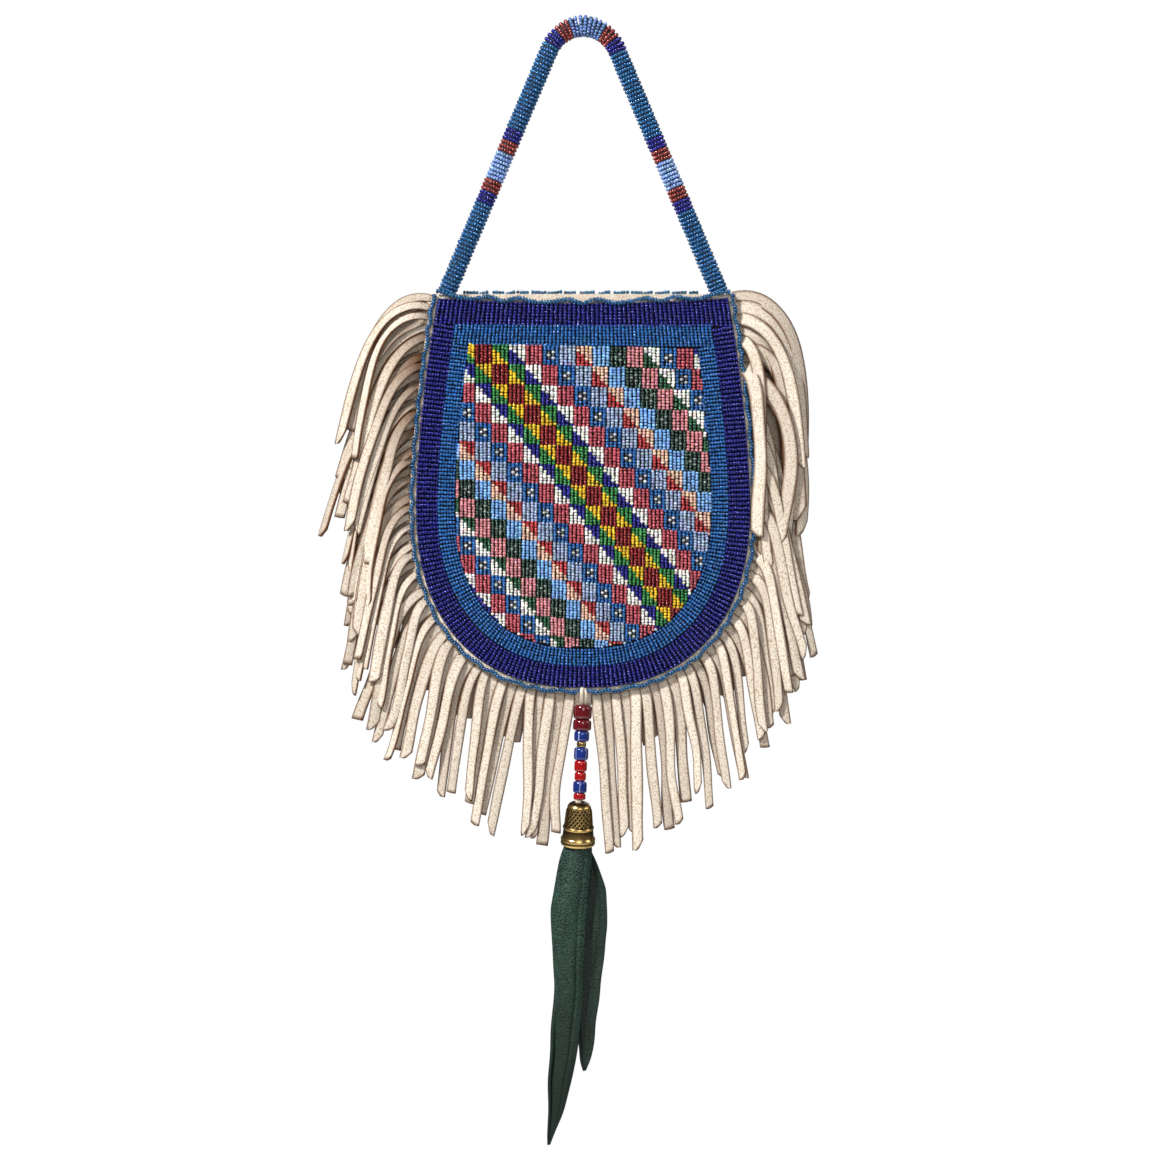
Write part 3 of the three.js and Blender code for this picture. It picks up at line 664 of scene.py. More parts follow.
def buckskin():
    """Brain-tanned deer hide, napped: matt cream with pores and soft clouds of tone, darker cut edges that
    also carry painted shadow, painted shade on strips that hang behind, lie deep or crowd at the root, and
    painted shade under the beads.
    """
    material, tree, shader = new_material("buckskin", {"IOR": 1.45, "Roughness": 0.92})
    place = add(tree, "TexCoord").outputs["Object"]
    cloud = add(tree, "TexNoise", {"Vector": place, "Scale": 1 / (16 * MM), "Detail": 3})
    # Real pores and nap are finer than a pixel, so both are drawn about half a millimetre wide
    pores = add(tree, "TexNoise", {"Vector": place, "Scale": 1 / (0.6 * MM), "Detail": 2})
    nap = add(tree, "TexNoise", {"Vector": place, "Scale": 1 / (0.45 * MM), "Detail": 3})
    pits = add(tree, "MapRange", {"Value": pores.outputs["Fac"], "From Min": 0.51, "From Max": 0.36})
    ground = add(
        tree, "Mix",
        {SHARE: cloud.outputs["Fac"], FIRST: linear(0xF8EFE1), SECOND: linear(0xE8DBC8)},
        data_type="RGBA",
    )
    dark = add(
        tree, "Mix",
        {SHARE: pits.outputs["Result"], FIRST: linear(0xFFFFFF), SECOND: linear(0xC4B29C)},
        data_type="RGBA",
    )
    skin = add(tree, "VectorMath", {0: ground.outputs[BLEND], 1: dark.outputs[BLEND]}, operation="MULTIPLY")
    # Dark brown by one attribute: the real darker cut edge with painted shadow lines between strips along
    # it, and painted shade on strips behind, deep or at the root
    edge = add(tree, "Attribute", attribute_name="cut_edge")
    cut = add(tree, "MapRange", {"Value": edge.outputs["Fac"], "From Min": PLAIN_HIDE, "From Max": 1})
    edge_darkened_and_shaded = add(
        tree, "Mix",
        {SHARE: cut.outputs["Result"], FIRST: skin.outputs["Vector"], SECOND: linear(0x633C1C)},
        data_type="RGBA",
    )
    # Painted shade: the hide under the bead work is near black, standing for the shade in the gaps between
    # beads
    under = add(tree, "Attribute", attribute_name="under_beads")
    shade_under_beads = add(tree, "MapRange", {"Value": under.outputs["Fac"], "From Min": 0, "From Max": 0.4})
    bead_shaded = add(
        tree, "Mix",
        {SHARE: shade_under_beads.outputs["Result"], FIRST: edge_darkened_and_shaded.outputs[BLEND], SECOND: linear(0x15131A)},
        data_type="RGBA",
    )
    tree.links.new(bead_shaded.outputs[BLEND], shader.inputs["Base Color"])
    relief = add(tree, "Math", {0: pores.outputs["Fac"], 1: nap.outputs["Fac"]}, operation="ADD")
    bump = add(tree, "Bump", {"Height": relief.outputs["Value"], "Strength": 0.4, "Distance": 0.4 * MM})
    tree.links.new(bump.outputs["Normal"], shader.inputs["Normal"])
    return material


def waxed_thread_and_gap_shade():
    """Dark waxed sinew wound over the rope, seen only in the gaps between beads; its near-black colour is
    also painted shade in those gaps.
    """
    material, tree, shader = new_material("waxed_thread_and_gap_shade", {"Roughness": 0.7})
    place = add(tree, "TexCoord").outputs["Object"]
    # Real fibres are finer than a pixel, so they are drawn 0.6 mm wide
    fibre = add(tree, "TexNoise", {"Vector": place, "Scale": 1 / (0.6 * MM), "Detail": 3})
    colour = add(
        tree, "Mix",
        {SHARE: fibre.outputs["Fac"], FIRST: linear(0x05070D), SECOND: linear(0x0D1626)},
        data_type="RGBA",
    )
    tree.links.new(colour.outputs[BLEND], shader.inputs["Base Color"])
    return material


def pendant_glass(name, color, stripe=None):
    """Wound glass, thick and fire polished: deep colour, wet gloss, and on some white stripes along it."""
    material, tree, shader = new_material(name, {"IOR": 1.7, "Roughness": 0.06})
    place = add(tree, "TexCoord").outputs["Object"]
    swirl = add(tree, "TexNoise", {"Vector": place, "Scale": 1 / (2.2 * MM), "Detail": 3})
    deep = [channel * 0.55 for channel in linear(color)[:3]] + [1]
    body = add(
        tree, "Mix",
        {SHARE: swirl.outputs["Fac"], FIRST: deep, SECOND: linear(color)},
        data_type="RGBA",
    )
    colour = body.outputs[BLEND]
    if stripe is not None:
        line = add(tree, "Attribute", attribute_name="stripe")
        edge = add(tree, "MapRange", {"Value": line.outputs["Fac"], "From Min": 0.62, "From Max": 0.9})
        striped = add(
            tree, "Mix",
            {SHARE: edge.outputs["Result"], FIRST: colour, SECOND: linear(stripe)},
            data_type="RGBA",
        )
        colour = striped.outputs[BLEND]
    tree.links.new(colour, shader.inputs["Base Color"])
    return material


def aged_brass():
    """Stamped and knurled brass, rubbed bright on its high places and brown with tarnish in the low ones."""
    material, tree, shader = new_material("aged_brass", {"Metallic": 1})
    place = add(tree, "TexCoord").outputs["Object"]
    recess = add(tree, "Attribute", attribute_name="recess").outputs["Fac"]
    tarnish = add(
        tree, "TexNoise",
        {"Vector": place, "Scale": 1 / (2.5 * MM), "Detail": 5, "Roughness": 0.6},
    )
    spots = add(
        tree, "MapRange",
        {"Value": tarnish.outputs["Fac"], "From Min": 0.45, "From Max": 0.7, "To Max": 0.55},
    )
    both = add(tree, "Math", {0: recess, 1: spots.outputs["Result"]}, operation="MAXIMUM", use_clamp=True)
    colour = add(
        tree, "Mix",
        {SHARE: both.outputs["Value"], FIRST: linear(0xF2CC84), SECOND: linear(0x160C05)},
        data_type="RGBA",
    )
    tree.links.new(colour.outputs[BLEND], shader.inputs["Base Color"])
    gloss = add(tree, "MapRange", {"Value": both.outputs["Value"], "To Min": 0.18, "To Max": 0.45})
    tree.links.new(gloss.outputs["Result"], shader.inputs["Roughness"])
    return material


def green_leather():
    """Thin dyed sheepskin: dark green with crackled grain whose lines carry a painted sheen, paler where it
    was rubbed, duller to its tip, and darkened all over as painted shade where a strip hangs behind another.
    """
    sockets = {"IOR": 1.5, "Specular IOR Level": 0.3, "Roughness": 0.45}
    material, tree, shader = new_material("green_leather", sockets)
    place = add(tree, "TexCoord").outputs["Object"]
    age = add(tree, "Attribute", attribute_name="age").outputs["Fac"]
    stretched = add(tree, "Mapping", {"Vector": place, "Scale": (1, 1, 0.45)}).outputs["Vector"]
    cloud = add(
        tree, "TexNoise",
        {"Vector": stretched, "Scale": 1 / (7 * MM), "Detail": 5, "Roughness": 0.6},
    )
    rub = add(tree, "MapRange", {"Value": cloud.outputs["Fac"], "From Min": 0.35, "From Max": 0.7})
    # Real grain is finer than a pixel, so its cells are drawn 1.3 mm wide
    grain = add(tree, "TexVoronoi", {"Vector": place, "Scale": 1 / (1.3 * MM)}, feature="DISTANCE_TO_EDGE")
    lines = add(
        tree, "MapRange",
        {"Value": grain.outputs["Distance"], "From Max": 0.14, "To Min": 0.5, "To Max": 0},
    )
    ground = add(
        tree, "Mix",
        {SHARE: rub.outputs["Result"], FIRST: linear(0x07110D), SECOND: linear(0x1A3229)},
        data_type="RGBA",
    )
    # The grain's lines are lighter: the real cracks, with a painted sheen on them in place of the
    # turned-down gloss
    crackle_and_sheen = add(
        tree, "Mix",
        {SHARE: lines.outputs["Result"], FIRST: ground.outputs[BLEND], SECOND: linear(0x557D6D)},
        data_type="RGBA",
    )
    darkened_to_tip = add(
        tree, "Mix",
        {SHARE: age, FIRST: crackle_and_sheen.outputs[BLEND], SECOND: linear(0x14241C)},
        data_type="RGBA",
    )
    tree.links.new(darkened_to_tip.outputs[BLEND], shader.inputs["Base Color"])
    relief = add(tree, "Math", {0: grain.outputs["Distance"], 1: cloud.outputs["Fac"]}, operation="ADD")
    bump = add(tree, "Bump", {"Height": relief.outputs["Value"], "Strength": 0.6, "Distance": 0.5 * MM})
    tree.links.new(bump.outputs["Normal"], shader.inputs["Normal"])
    return material


def studio_paper():
    """Matt backdrop paper, plain and pale."""
    material, tree, shader = new_material("studio_paper", {"Roughness": 0.95})
    place = add(tree, "TexCoord").outputs["Object"]
    # Real fibres are finer than a pixel, so they are drawn 2 mm wide
    fibre = add(tree, "TexNoise", {"Vector": place, "Scale": 1 / (2 * MM), "Detail": 3})
    colour = add(
        tree, "Mix",
        {SHARE: fibre.outputs["Fac"], FIRST: linear(0xF1F0EE), SECOND: linear(0xE9E8E5)},
        data_type="RGBA",
    )
    tree.links.new(colour.outputs[BLEND], shader.inputs["Base Color"])
    return material


MATERIALS = {
    "hide": buckskin(),
    "beads": seed_bead_glass(),
    "thread_and_gap_shade": waxed_thread_and_gap_shade(),
    "oxblood_glass": pendant_glass("oxblood_glass", 0x6E0F1C),
    "blue_glass": pendant_glass("striped_blue_glass", 0x1A3388, stripe=0xC9D6EE),
    "red_glass": pendant_glass("red_glass", 0xB80E14),
    "brass": aged_brass(),
    "green_leather": green_leather(),
    "paper": studio_paper(),
}


# Pieces
def link(mesh, name, material):
    """An object at the origin for a mesh in millimetres."""
    mesh.transform(Matrix.Scale(MM, 4))
    mesh.polygons.foreach_set("use_smooth", [True] * len(mesh.polygons))
    piece = bpy.data.objects.new(name, mesh)
    bpy.context.scene.collection.objects.link(piece)
    mesh.materials.append(MATERIALS[material])
    return piece


def shown_as(piece, slot, *nodes):
    """The piece rides on the pouch and stands for these nodes."""
    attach(piece, "root")
    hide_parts(*nodes)
    return piece


def from_bmesh(bm, name, material):
    mesh = bpy.data.meshes.new(name)
    bm.to_mesh(mesh)
    bm.free()
    return link(mesh, name, material)


def scalar(piece, name, values):
    """A number on each corner of the piece, for its material to read."""
    piece.data.attributes.new(name, "FLOAT", "POINT").data.foreach_set("value", values)


def thicken(piece, thickness, offset):
    wall = piece.modifiers.new("wall", "SOLIDIFY")
    wall.thickness = thickness * MM
    wall.offset = offset
    wall.use_even_offset = False


def facing(bm, direction):
    """Turns every face of an open sheet so that it mostly looks in a direction."""
    bmesh.ops.recalc_face_normals(bm, faces=bm.faces)
    if sum(face.normal.dot(direction) for face in bm.faces) < 0:
        bmesh.ops.reverse_faces(bm, faces=bm.faces)


def sheet_grid(bm, columns, rows, place):
    """A grid laid out by place(across from -1 to 1, down from 0 to 1): each corner, across and down."""
    made = bmesh.ops.create_grid(bm, x_segments=columns, y_segments=rows, size=1)
    grid = [(vert, vert.co.x, (1 - vert.co.y) / 2) for vert in made["verts"]]
    for vert, across, down in grid:
        vert.co = place(across, down)
    return grid


# Hide walls
def outline_row(down, inset):
    """Half width and height of the outline's row at a share of the way from the rim to the bottom."""
    if down < SIDE_ROWS_SHARE:
        z = mix(RIM_Z, WIDEST_Z, down / SIDE_ROWS_SHARE)
        return half_width(z, inset), z
    return bottom_point((down - SIDE_ROWS_SHARE) / (1 - SIDE_ROWS_SHARE) * FLAT_BOTTOM, inset)


def inside_beads(x, z):
    """How far a place of the front lies inside the outer edge of the bead work, negative outside it."""
    below_top = CORNER_Z - rim_shift(x, CORNER_Z, FRONT_RIM_SAG) - z
    if z > WIDEST_Z:
        return min(below_top, half_width(z, 0) - abs(x))
    across = abs(x) / WIDEST_HALF_WIDTH
    down = (WIDEST_Z - z) / (WIDEST_Z - BOTTOM_Z)
    reached = (across**BOTTOM_ROUNDNESS + down**BOTTOM_ROUNDNESS) ** (1 / BOTTOM_ROUNDNESS)
    return WIDEST_HALF_WIDTH * (1 - reached)


def hide_wall(node, point, front):
    """One wall of the pouch. The seam draws small puckers into the back one, which has no beads on it."""
    def place(across, down):
        x, z = outline_row(down, -HIDE_MARGIN)
        around = across * x * PUCKER_SLANT + z
        edge = min(x * (1 - abs(across)), z - BOTTOM_Z + HIDE_MARGIN)
        pucker = PUCKER * math.sin(around * 2 * math.pi / PUCKER_PERIOD) * math.exp(-edge / PUCKER_FADE)
        return point(across * x, z, 0 if front else HIDE_WALL + max(0, pucker))

    bm = bmesh.new()
    sheet_grid(bm, WALL_COLUMNS, WALL_ROWS, place)
    facing(bm, Vector((0, -1 if front else 1, 0)))
    # Painted shade under the beads of the front wall, reaching a little past their outer edge
    shade_under_beads = [inside_beads(vert.co.x, vert.co.z) + BEAD_SHADE_MARGIN if front else 0 for vert in bm.verts]
    soil_and_shade = [BACK_RIM_SOIL * math.exp((vert.co.z - RIM_Z) / BACK_RIM_SOIL_REACH) for vert in bm.verts]
    wall = from_bmesh(bm, node + "_hide", "hide")
    scalar(wall, "under_beads", shade_under_beads)
    if not front:
        scalar(wall, "cut_edge", [BACK_WALL_TONE + dirt for dirt in soil_and_shade])
    thicken(wall, HIDE_WALL, -1)
    return shown_as(wall, "hide", node)


# Seed beads
def seed_bead():
    """Corners and triangles of one bead a unit wide and long, with its hole's axis along Z."""
    bm = bmesh.new()
    bmesh.ops.create_uvsphere(bm, u_segments=8, v_segments=4, radius=0.5)
    bmesh.ops.triangulate(bm, faces=bm.faces)
    corners = np.array([vert.co for vert in bm.verts])
    height = np.abs(corners[:, 2])
    corners[(height > 0.1) & (height < 0.45)] *= BEAD_SHOULDER
    triangles = np.array([[vert.index for vert in face.verts] for face in bm.faces])
    bm.free()
    return corners, triangles


BEAD_CORNERS, BEAD_TRIANGLES = seed_bead()


class BeadWork:
    """Strings of seed beads that are joined into one piece. Thousands of copies of one bead are laid out as
    arrays, which is far quicker than an operator for each."""

    def __init__(self, seed):
        self.rows = []
        self.random = np.random.default_rng(seed)

    def string(self, points, colors, width, length=None):
        """Beads at these points, each lying along the line through its neighbours. width may be a list."""
        last = len(points) - 1
        widths = np.broadcast_to(width, len(points))
        for i, point in enumerate(points):
            before, after = points[max(0, i - 1)], points[min(last, i + 1)]
            along = after - before if last else Vector((0, 0, 1))
            spacing = along.length / max(1, min(last, i + 1) - max(0, i - 1))
            self.rows.append((*point, *along.normalized(), widths[i], length or spacing, BEADS[colors[i]]))

    def ring(self, points, color, width):
        """A closed ring of beads."""
        around = [points[-1], *points, points[0]]
        for before, point, after in zip(around, points, around[2:]):
            along = after - before
            self.rows.append((*point, *along.normalized(), width, along.length / 2, BEADS[color]))

    def piece(self, name, slot, *nodes):
        """All the strings as one piece that stands for the nodes."""
        rows = np.array(self.rows, float)
        count = len(rows)
        centre, axis = rows[:, 0:3], rows[:, 3:6]
        centre = centre + self.random.normal(0, PLACE_SPREAD, (count, 3))
        axis = axis + self.random.normal(0, SLANT_SPREAD, (count, 3))
        axis /= np.linalg.norm(axis, axis=1, keepdims=True)
        helper = np.where(np.abs(axis[:, 1:2]) < 0.9, [[0, 1, 0]], [[1, 0, 0]])
        side = np.cross(helper, axis)
        side /= np.linalg.norm(side, axis=1, keepdims=True)
        third = np.cross(axis, side)
        width = rows[:, 6] * self.random.normal(1, SIZE_SPREAD, count)
        length = rows[:, 7] * self.random.normal(LENGTH_FILL, SIZE_SPREAD, count)
        spread = BEAD_CORNERS[None, :, 0:1] * (side * width[:, None])[:, None]
        spread = spread + BEAD_CORNERS[None, :, 1:2] * (third * width[:, None])[:, None]
        spread = spread + BEAD_CORNERS[None, :, 2:3] * (axis * length[:, None])[:, None]
        corners = (centre[:, None] + spread).reshape(-1, 3)
        shift = np.arange(count)[:, None, None] * len(BEAD_CORNERS)
        mesh = bpy.data.meshes.new(name)
        mesh.from_pydata(corners.tolist(), [], (BEAD_TRIANGLES[None] + shift).reshape(-1, 3).tolist())
        tones = np.array([linear(int(color)) for color in rows[:, 8]])
        tones[:, :3] *= self.random.normal(1, BRIGHTNESS_SPREAD, (count, 1)).clip(*BRIGHTNESS_LIMITS)
        tones[:, :3] *= self.random.normal(1, HUE_SPREAD, (count, 3)).clip(*HUE_LIMITS)
        tint = mesh.color_attributes.new("bead_color", "FLOAT_COLOR", "POINT")
        tint.data.foreach_set("color", np.repeat(tones, len(BEAD_CORNERS), axis=0).ravel())
        return shown_as(link(mesh, name, "beads"), slot, *nodes)


def arched(places, base, arch):
    """Points over the front wall for a string that is stitched down at both ends."""
    last = max(1, len(places) - 1)
    rises = [arch * (1 - (2 * i / last - 1) ** 2) for i in range(len(places))]
    return [front_point(x, z, base + rise) for (x, z), rise in zip(places, rises)]


def bead_band(node, outer, inner, pitch, color, slot, seed):
    """A border: upright strings along the top, then strings square to the edge round sides and bottom."""
    work = BeadWork(seed)
    base = GAP + BEAD_WIDTH / 2 - BORDER_SINK
    top, bottom = (CORNER_Z - inset * TOP_BAND_STRETCH for inset in (outer, inner))
    reach = [half_width(z, outer) - pitch / 2 for z in (top, bottom)]
    strings = round(reach[0] * 2 / pitch)
    for i in range(strings + 1):
        across = 2 * i / strings - 1
        foot = bottom - TOP_BAND_TILT * (across + 1) * reach[1]
        tall = front_point(across * reach[0], top, 0).z - front_point(across * reach[1], foot, 0).z
        count = round(tall / BEAD_LENGTH)
        shares = [(j + 0.5) / count for j in range(count)]
        places = [(across * mix(*reach, share), mix(top, foot, share)) for share in shares]
        work.string(arched(places, base, BORDER_ARCH), [color] * count, pitch * BAND_FILL)
    middle = seam(-(outer + inner) / 2, top=bottom)
    reached = middle.length - 2 * TOP_BAND_TILT * reach[1]
    count = round((inner - outer) / BEAD_LENGTH)
    strings = round(reached / pitch)
    offsets = [(inner - outer) * ((j + 0.5) / count - 0.5) for j in range(count)]

    def string_points(number):
        distance = clamp(number * reached / strings, 0.5, reached)
        point, square = middle.at(distance), inward(middle.heading(distance))
        return [point + square * offset for offset in offsets]

    for i in range(strings):
        places = [(point.x, point.z) for point in string_points(i + 0.5)]
        sides = zip(string_points(i), string_points(i + 1))
        widths = [min((after - before).length, WIDEST_BEAD * pitch) * BAND_FILL for before, after in sides]
        work.string(arched(places, base, BORDER_ARCH), [color] * count, widths)
    work.piece(node + "_beads", slot, node)


def lane(number):
    """Where the diagonal crosses a lane, its block width and its tilt. The number may be a fraction."""
    x = DIAGONAL_X[0] + DIAGONAL_X[1] * number + DIAGONAL_X[2] * number**2
    z = DIAGONAL_Z[0] + DIAGONAL_Z[1] * number
    return x, z, BLOCK_PITCH[0] + BLOCK_PITCH[1] * number, LANE_TILT[0] + LANE_TILT[1] * number


def lane_height(number, x):
    """Height of a lane's line at a place across the field."""
    crossing, z, _, tilt = lane(number)
    return z - tilt * (x - crossing)


def chart_color(block, column, row):
    """Colour of a bead of the field: its block's distance from the diagonal, and its place in the block."""
    near, far, specks = FIELD_CHART[abs(block) % len(FIELD_CHART)]
    if far:
        from_far = row if block > 0 else BEADS_PER_STRING - 1 - row
        step = SPLIT_STEPS[column if block > 0 else STRINGS_PER_BLOCK - 1 - column]
        return far if from_far < step else near
    if specks and column in SPECK_COLUMNS and row in SPECK_ROWS:
        return specks[(column + row) % 2]
    return near


def bead_field():
    """Lanes of upright strings, four strings to a block, in two pieces."""
    base = GAP + BEAD_WIDTH / 2 - LANE_SINK
    inset = OUTER_BORDER + INNER_BORDER + FIELD_MARGIN
    ceiling = CORNER_Z - (OUTER_BORDER + INNER_BORDER) * TOP_BAND_STRETCH
    reach = BLOCKS_EACH_WAY * STRINGS_PER_BLOCK
    works = {"upper": BeadWork(31), "lower": BeadWork(32)}
    for number in range(LANES):
        crossing, _, pitch, _ = lane(number)
        work = works["upper" if number < UPPER_LANES else "lower"]
        string_pitch = pitch / STRINGS_PER_BLOCK
        for index in range(-reach, reach):
            block, column = divmod(index, STRINGS_PER_BLOCK)
            drift = STRING_DRIFT * jitter(number * 97 + index)
            slip = STRING_SLIP * jitter(number * 31 + index)
            x = crossing + string_pitch * (index + 0.5 - STRINGS_PER_BLOCK / 2 + drift)
            places, colors = [], []
            for row in range(BEADS_PER_STRING):
                z = lane_height(number - 0.5 + (row + 0.5) / BEADS_PER_STRING, x) + slip
                z += rim_shift(x, z, FRONT_RIM_SAG)
                limit = half_width(z, inset)
                if ceiling > z > BOTTOM_Z + inset and abs(x) < limit + string_pitch / 2:
                    places.append((math.copysign(min(abs(x), limit), x), z))
                    colors.append(chart_color(block, column, row))
            if places:
                points = arched(places, base, LANE_ARCH * len(places) / BEADS_PER_STRING)
                work.string(points, colors, string_pitch * FIELD_FILL, length=BEAD_LENGTH)
    for name, work in works.items():
        work.piece(f"bead_field_{name}_lanes", "field_beads", "bead_field")


# Edging
def edging_string(work, points, color, width):
    """Beads on dark sinew that shows as a dark line between them, drawn wide so that the line is also
    painted shade.
    """
    work.string(points, [color] * len(points), width)
    work.string(points, ["thread_and_gap_shade"] * len(points), EDGING_SHADE_THREAD_WIDTH, length=EDGING_SHADE_THREAD_LENGTH)


def edging(work, length, place, weave, wave, seed):
    """One string of beads woven from side to side along a line: place(distance, across) is over it."""
    points = []
    for distance in np.arange(0.5, length / EDGING_BEAD_LENGTH) * EDGING_BEAD_LENGTH:
        turn = 2 * math.pi * distance / wave + EDGING_DRIFT * math.sin(3 * distance / wave + seed)
        rise = Vector((0, EDGING_RISE + EDGING_RISE * math.cos(turn), 0))
        points.append(place(distance, weave * math.sin(turn)) - rise)
    edging_string(work, points, "edging", EDGING_BEAD_WIDTH)


def edging_groups(work, length, place, weave, seed):
    """Beads along a line in groups of three to five, each group slanting and set apart from the next."""
    start, number = 0.5, 0
    while start < length - 3 * EDGING_BEAD_LENGTH:
        number += 1
        beads = GROUP_BEADS + round(GROUP_BEADS_SPREAD * jitter(seed + number))
        slant = weave * (GROUP_SLANT + jitter(seed + number + 0.3))
        steps = [start + (i + 0.5) * EDGING_BEAD_LENGTH for i in range(beads)]
        points = [place(min(step, length), slant * (2 * i / beads - 1)) for i, step in enumerate(steps)]
        edging_string(work, points, "dark_edging", BACK_EDGING_BEAD_WIDTH)
        gap = GROUP_GAP + GROUP_GAP_SPREAD * jitter(seed + number + 0.6)
        start += beads * EDGING_BEAD_LENGTH + gap


def seam_edging(side, node):
    """Edging along one half of the seam, from the rim corner to the thong."""
    full = seam(SEAM_EDGING_OFFSET)

    def place(distance, across):
        mark = distance if side < 0 else full.length - distance
        point, square = full.at(mark), inward(full.heading(clamp(mark, 1, full.length - 1)))
        moved = point + square * across
        return front_point(moved.x, moved.z, GAP + SEAM_EDGING_RADIUS - SEAM_EDGING_SINK)

    work = BeadWork(41 + side)
    edging(work, full.length / 2 - THONG_ROOM, place, SEAM_WEAVE, SEAM_WAVE, seed=10 + side)
    work.piece(node + "_beads", "mid_blue_beads", node)


def handle_line():
    """The handle's centre line from the top of the bend down the right leg."""
    arc = np.linspace(0, math.pi / 2 - HANDLE_LEAN, BEND_POINTS)
    points = [
        (HANDLE_BEND * math.sin(a), 0, HANDLE_RADIUS - HANDLE_BEND * (1 - math.cos(a))) for a in arc
    ]
    x, _, z = points[-1]
    return Route(points + [(x + (z - HANDLE_FOOT_Z) * math.tan(HANDLE_LEAN), 0, HANDLE_FOOT_Z)])


def rim_edging():
    """Edging in front of the front rim, and on the back rim between the handle's feet."""
    half = half_width(RIM_Z, -SEAM_EDGING_OFFSET) - 1

    def on_front(distance, across):
        x = distance - half
        point = front_point(x, RIM_Z, RIM_EDGING_STAND + RIM_EDGING_RADIUS - RIM_EDGING_SINK)
        return point + Vector((0, 0, across + RIM_EDGING_LIFT * (x / half) ** 8 - RIM_EDGING_DROP))

    work = BeadWork(51)
    edging(work, 2 * half, on_front, RIM_WEAVE, RIM_WAVE, seed=20)
    work.piece("front_rim_edging_beads", "mid_blue_beads", "front_rim_edging")
    foot = handle_line().points[-1][0]
    reach = foot - HANDLE_RADIUS / math.cos(HANDLE_LEAN) - 2 * RIM_EDGING_RADIUS

    def on_back(distance, across):
        point = back_point(distance - reach, RIM_Z, HIDE_WALL / 2 + BACK_EDGING_OUT)
        return point + Vector((0, 0, GAP + BACK_EDGING_UP + across))

    work = BeadWork(52)
    edging_groups(work, 2 * reach, on_back, BACK_WEAVE, seed=30)
    work.piece("back_rim_edging_beads", "mid_blue_beads", "back_rim_edging")


# Handle
def on_handle(line, distance):
    """Centre, heading and swelling of the handle at a distance from its top, negative on the left leg."""
    centre, heading = line.at(abs(distance)), line.heading(max(0.4, abs(distance)))
    if distance < 0:
        centre.x, heading.x = -centre.x, -heading.x
    swell = HANDLE_TOP_SWELL * math.exp(-((distance / HANDLE_SWELL_REACH) ** 2))
    centre.z += swell
    return centre, heading, swell


def beaded_handle():
    """Rings of beads round a rope core, row by row from the top of the bend."""
    line = handle_line()

    def ring_point(distance, turn, radius):
        centre, heading, swell = on_handle(line, distance)
        across = Vector((heading.z, 0, -heading.x))
        return centre + (radius + swell) * (across * math.cos(turn) + Vector((0, math.sin(turn), 0)))

    radius = HANDLE_RADIUS - BEAD_WIDTH / 2
    work = BeadWork(61)
    for side in (-1, 1):
        colors = [color for left, right, color in HANDLE_ROWS for _ in range(left if side < 0 else right)]
        for row, color in enumerate(colors):
            distance = side * (row + 0.5) * HANDLE_ROW_PITCH
            if abs(distance) > line.length + HANDLE_ROW_PITCH / 2:
                break
            steps = [i + 0.5 * (row % 2) for i in range(HANDLE_BEADS_AROUND)]
            turns = [2 * math.pi * step / HANDLE_BEADS_AROUND for step in steps]
            points = [ring_point(distance, turn, radius) for turn in turns]
            work.ring(points, color, HANDLE_ROW_PITCH * HANDLE_ROW_FILL)
    work.piece("handle_beads", "mid_blue_beads", "handle")

    def on_core(across, down):
        return ring_point(mix(-line.length, line.length, down), math.pi * across, HANDLE_CORE_RADIUS)

    # The near-black core also stands as painted shade between the rows of beads
    bm = bmesh.new()
    sheet_grid(bm, HANDLE_CORE_COLUMNS, HANDLE_CORE_ROWS, on_core)
    bmesh.ops.remove_doubles(bm, verts=bm.verts, dist=1e-3)
    bmesh.ops.recalc_face_normals(bm, faces=bm.faces)
    shown_as(from_bmesh(bm, "handle_core", "thread_and_gap_shade"), "mid_blue_beads", "handle")


# Fringe
def clump(side, number):
    """The clump that a strip hangs in and the strip's place in it, counted from the clump's middle."""
    sizes = LEFT_CLUMPS if side < 0 else RIGHT_CLUMPS
    ends = np.cumsum(sizes)
    which = min(int(np.searchsorted(ends, number, side="right")), len(sizes) - 1)
    return which, number - (ends[which] - (sizes[which] + 1) / 2)


def strip_layer(number):
    """The layer of a strip, from 0 at the back: neighbours lie in different layers."""
    return (2 * int(number)) % STRIP_LAYERS


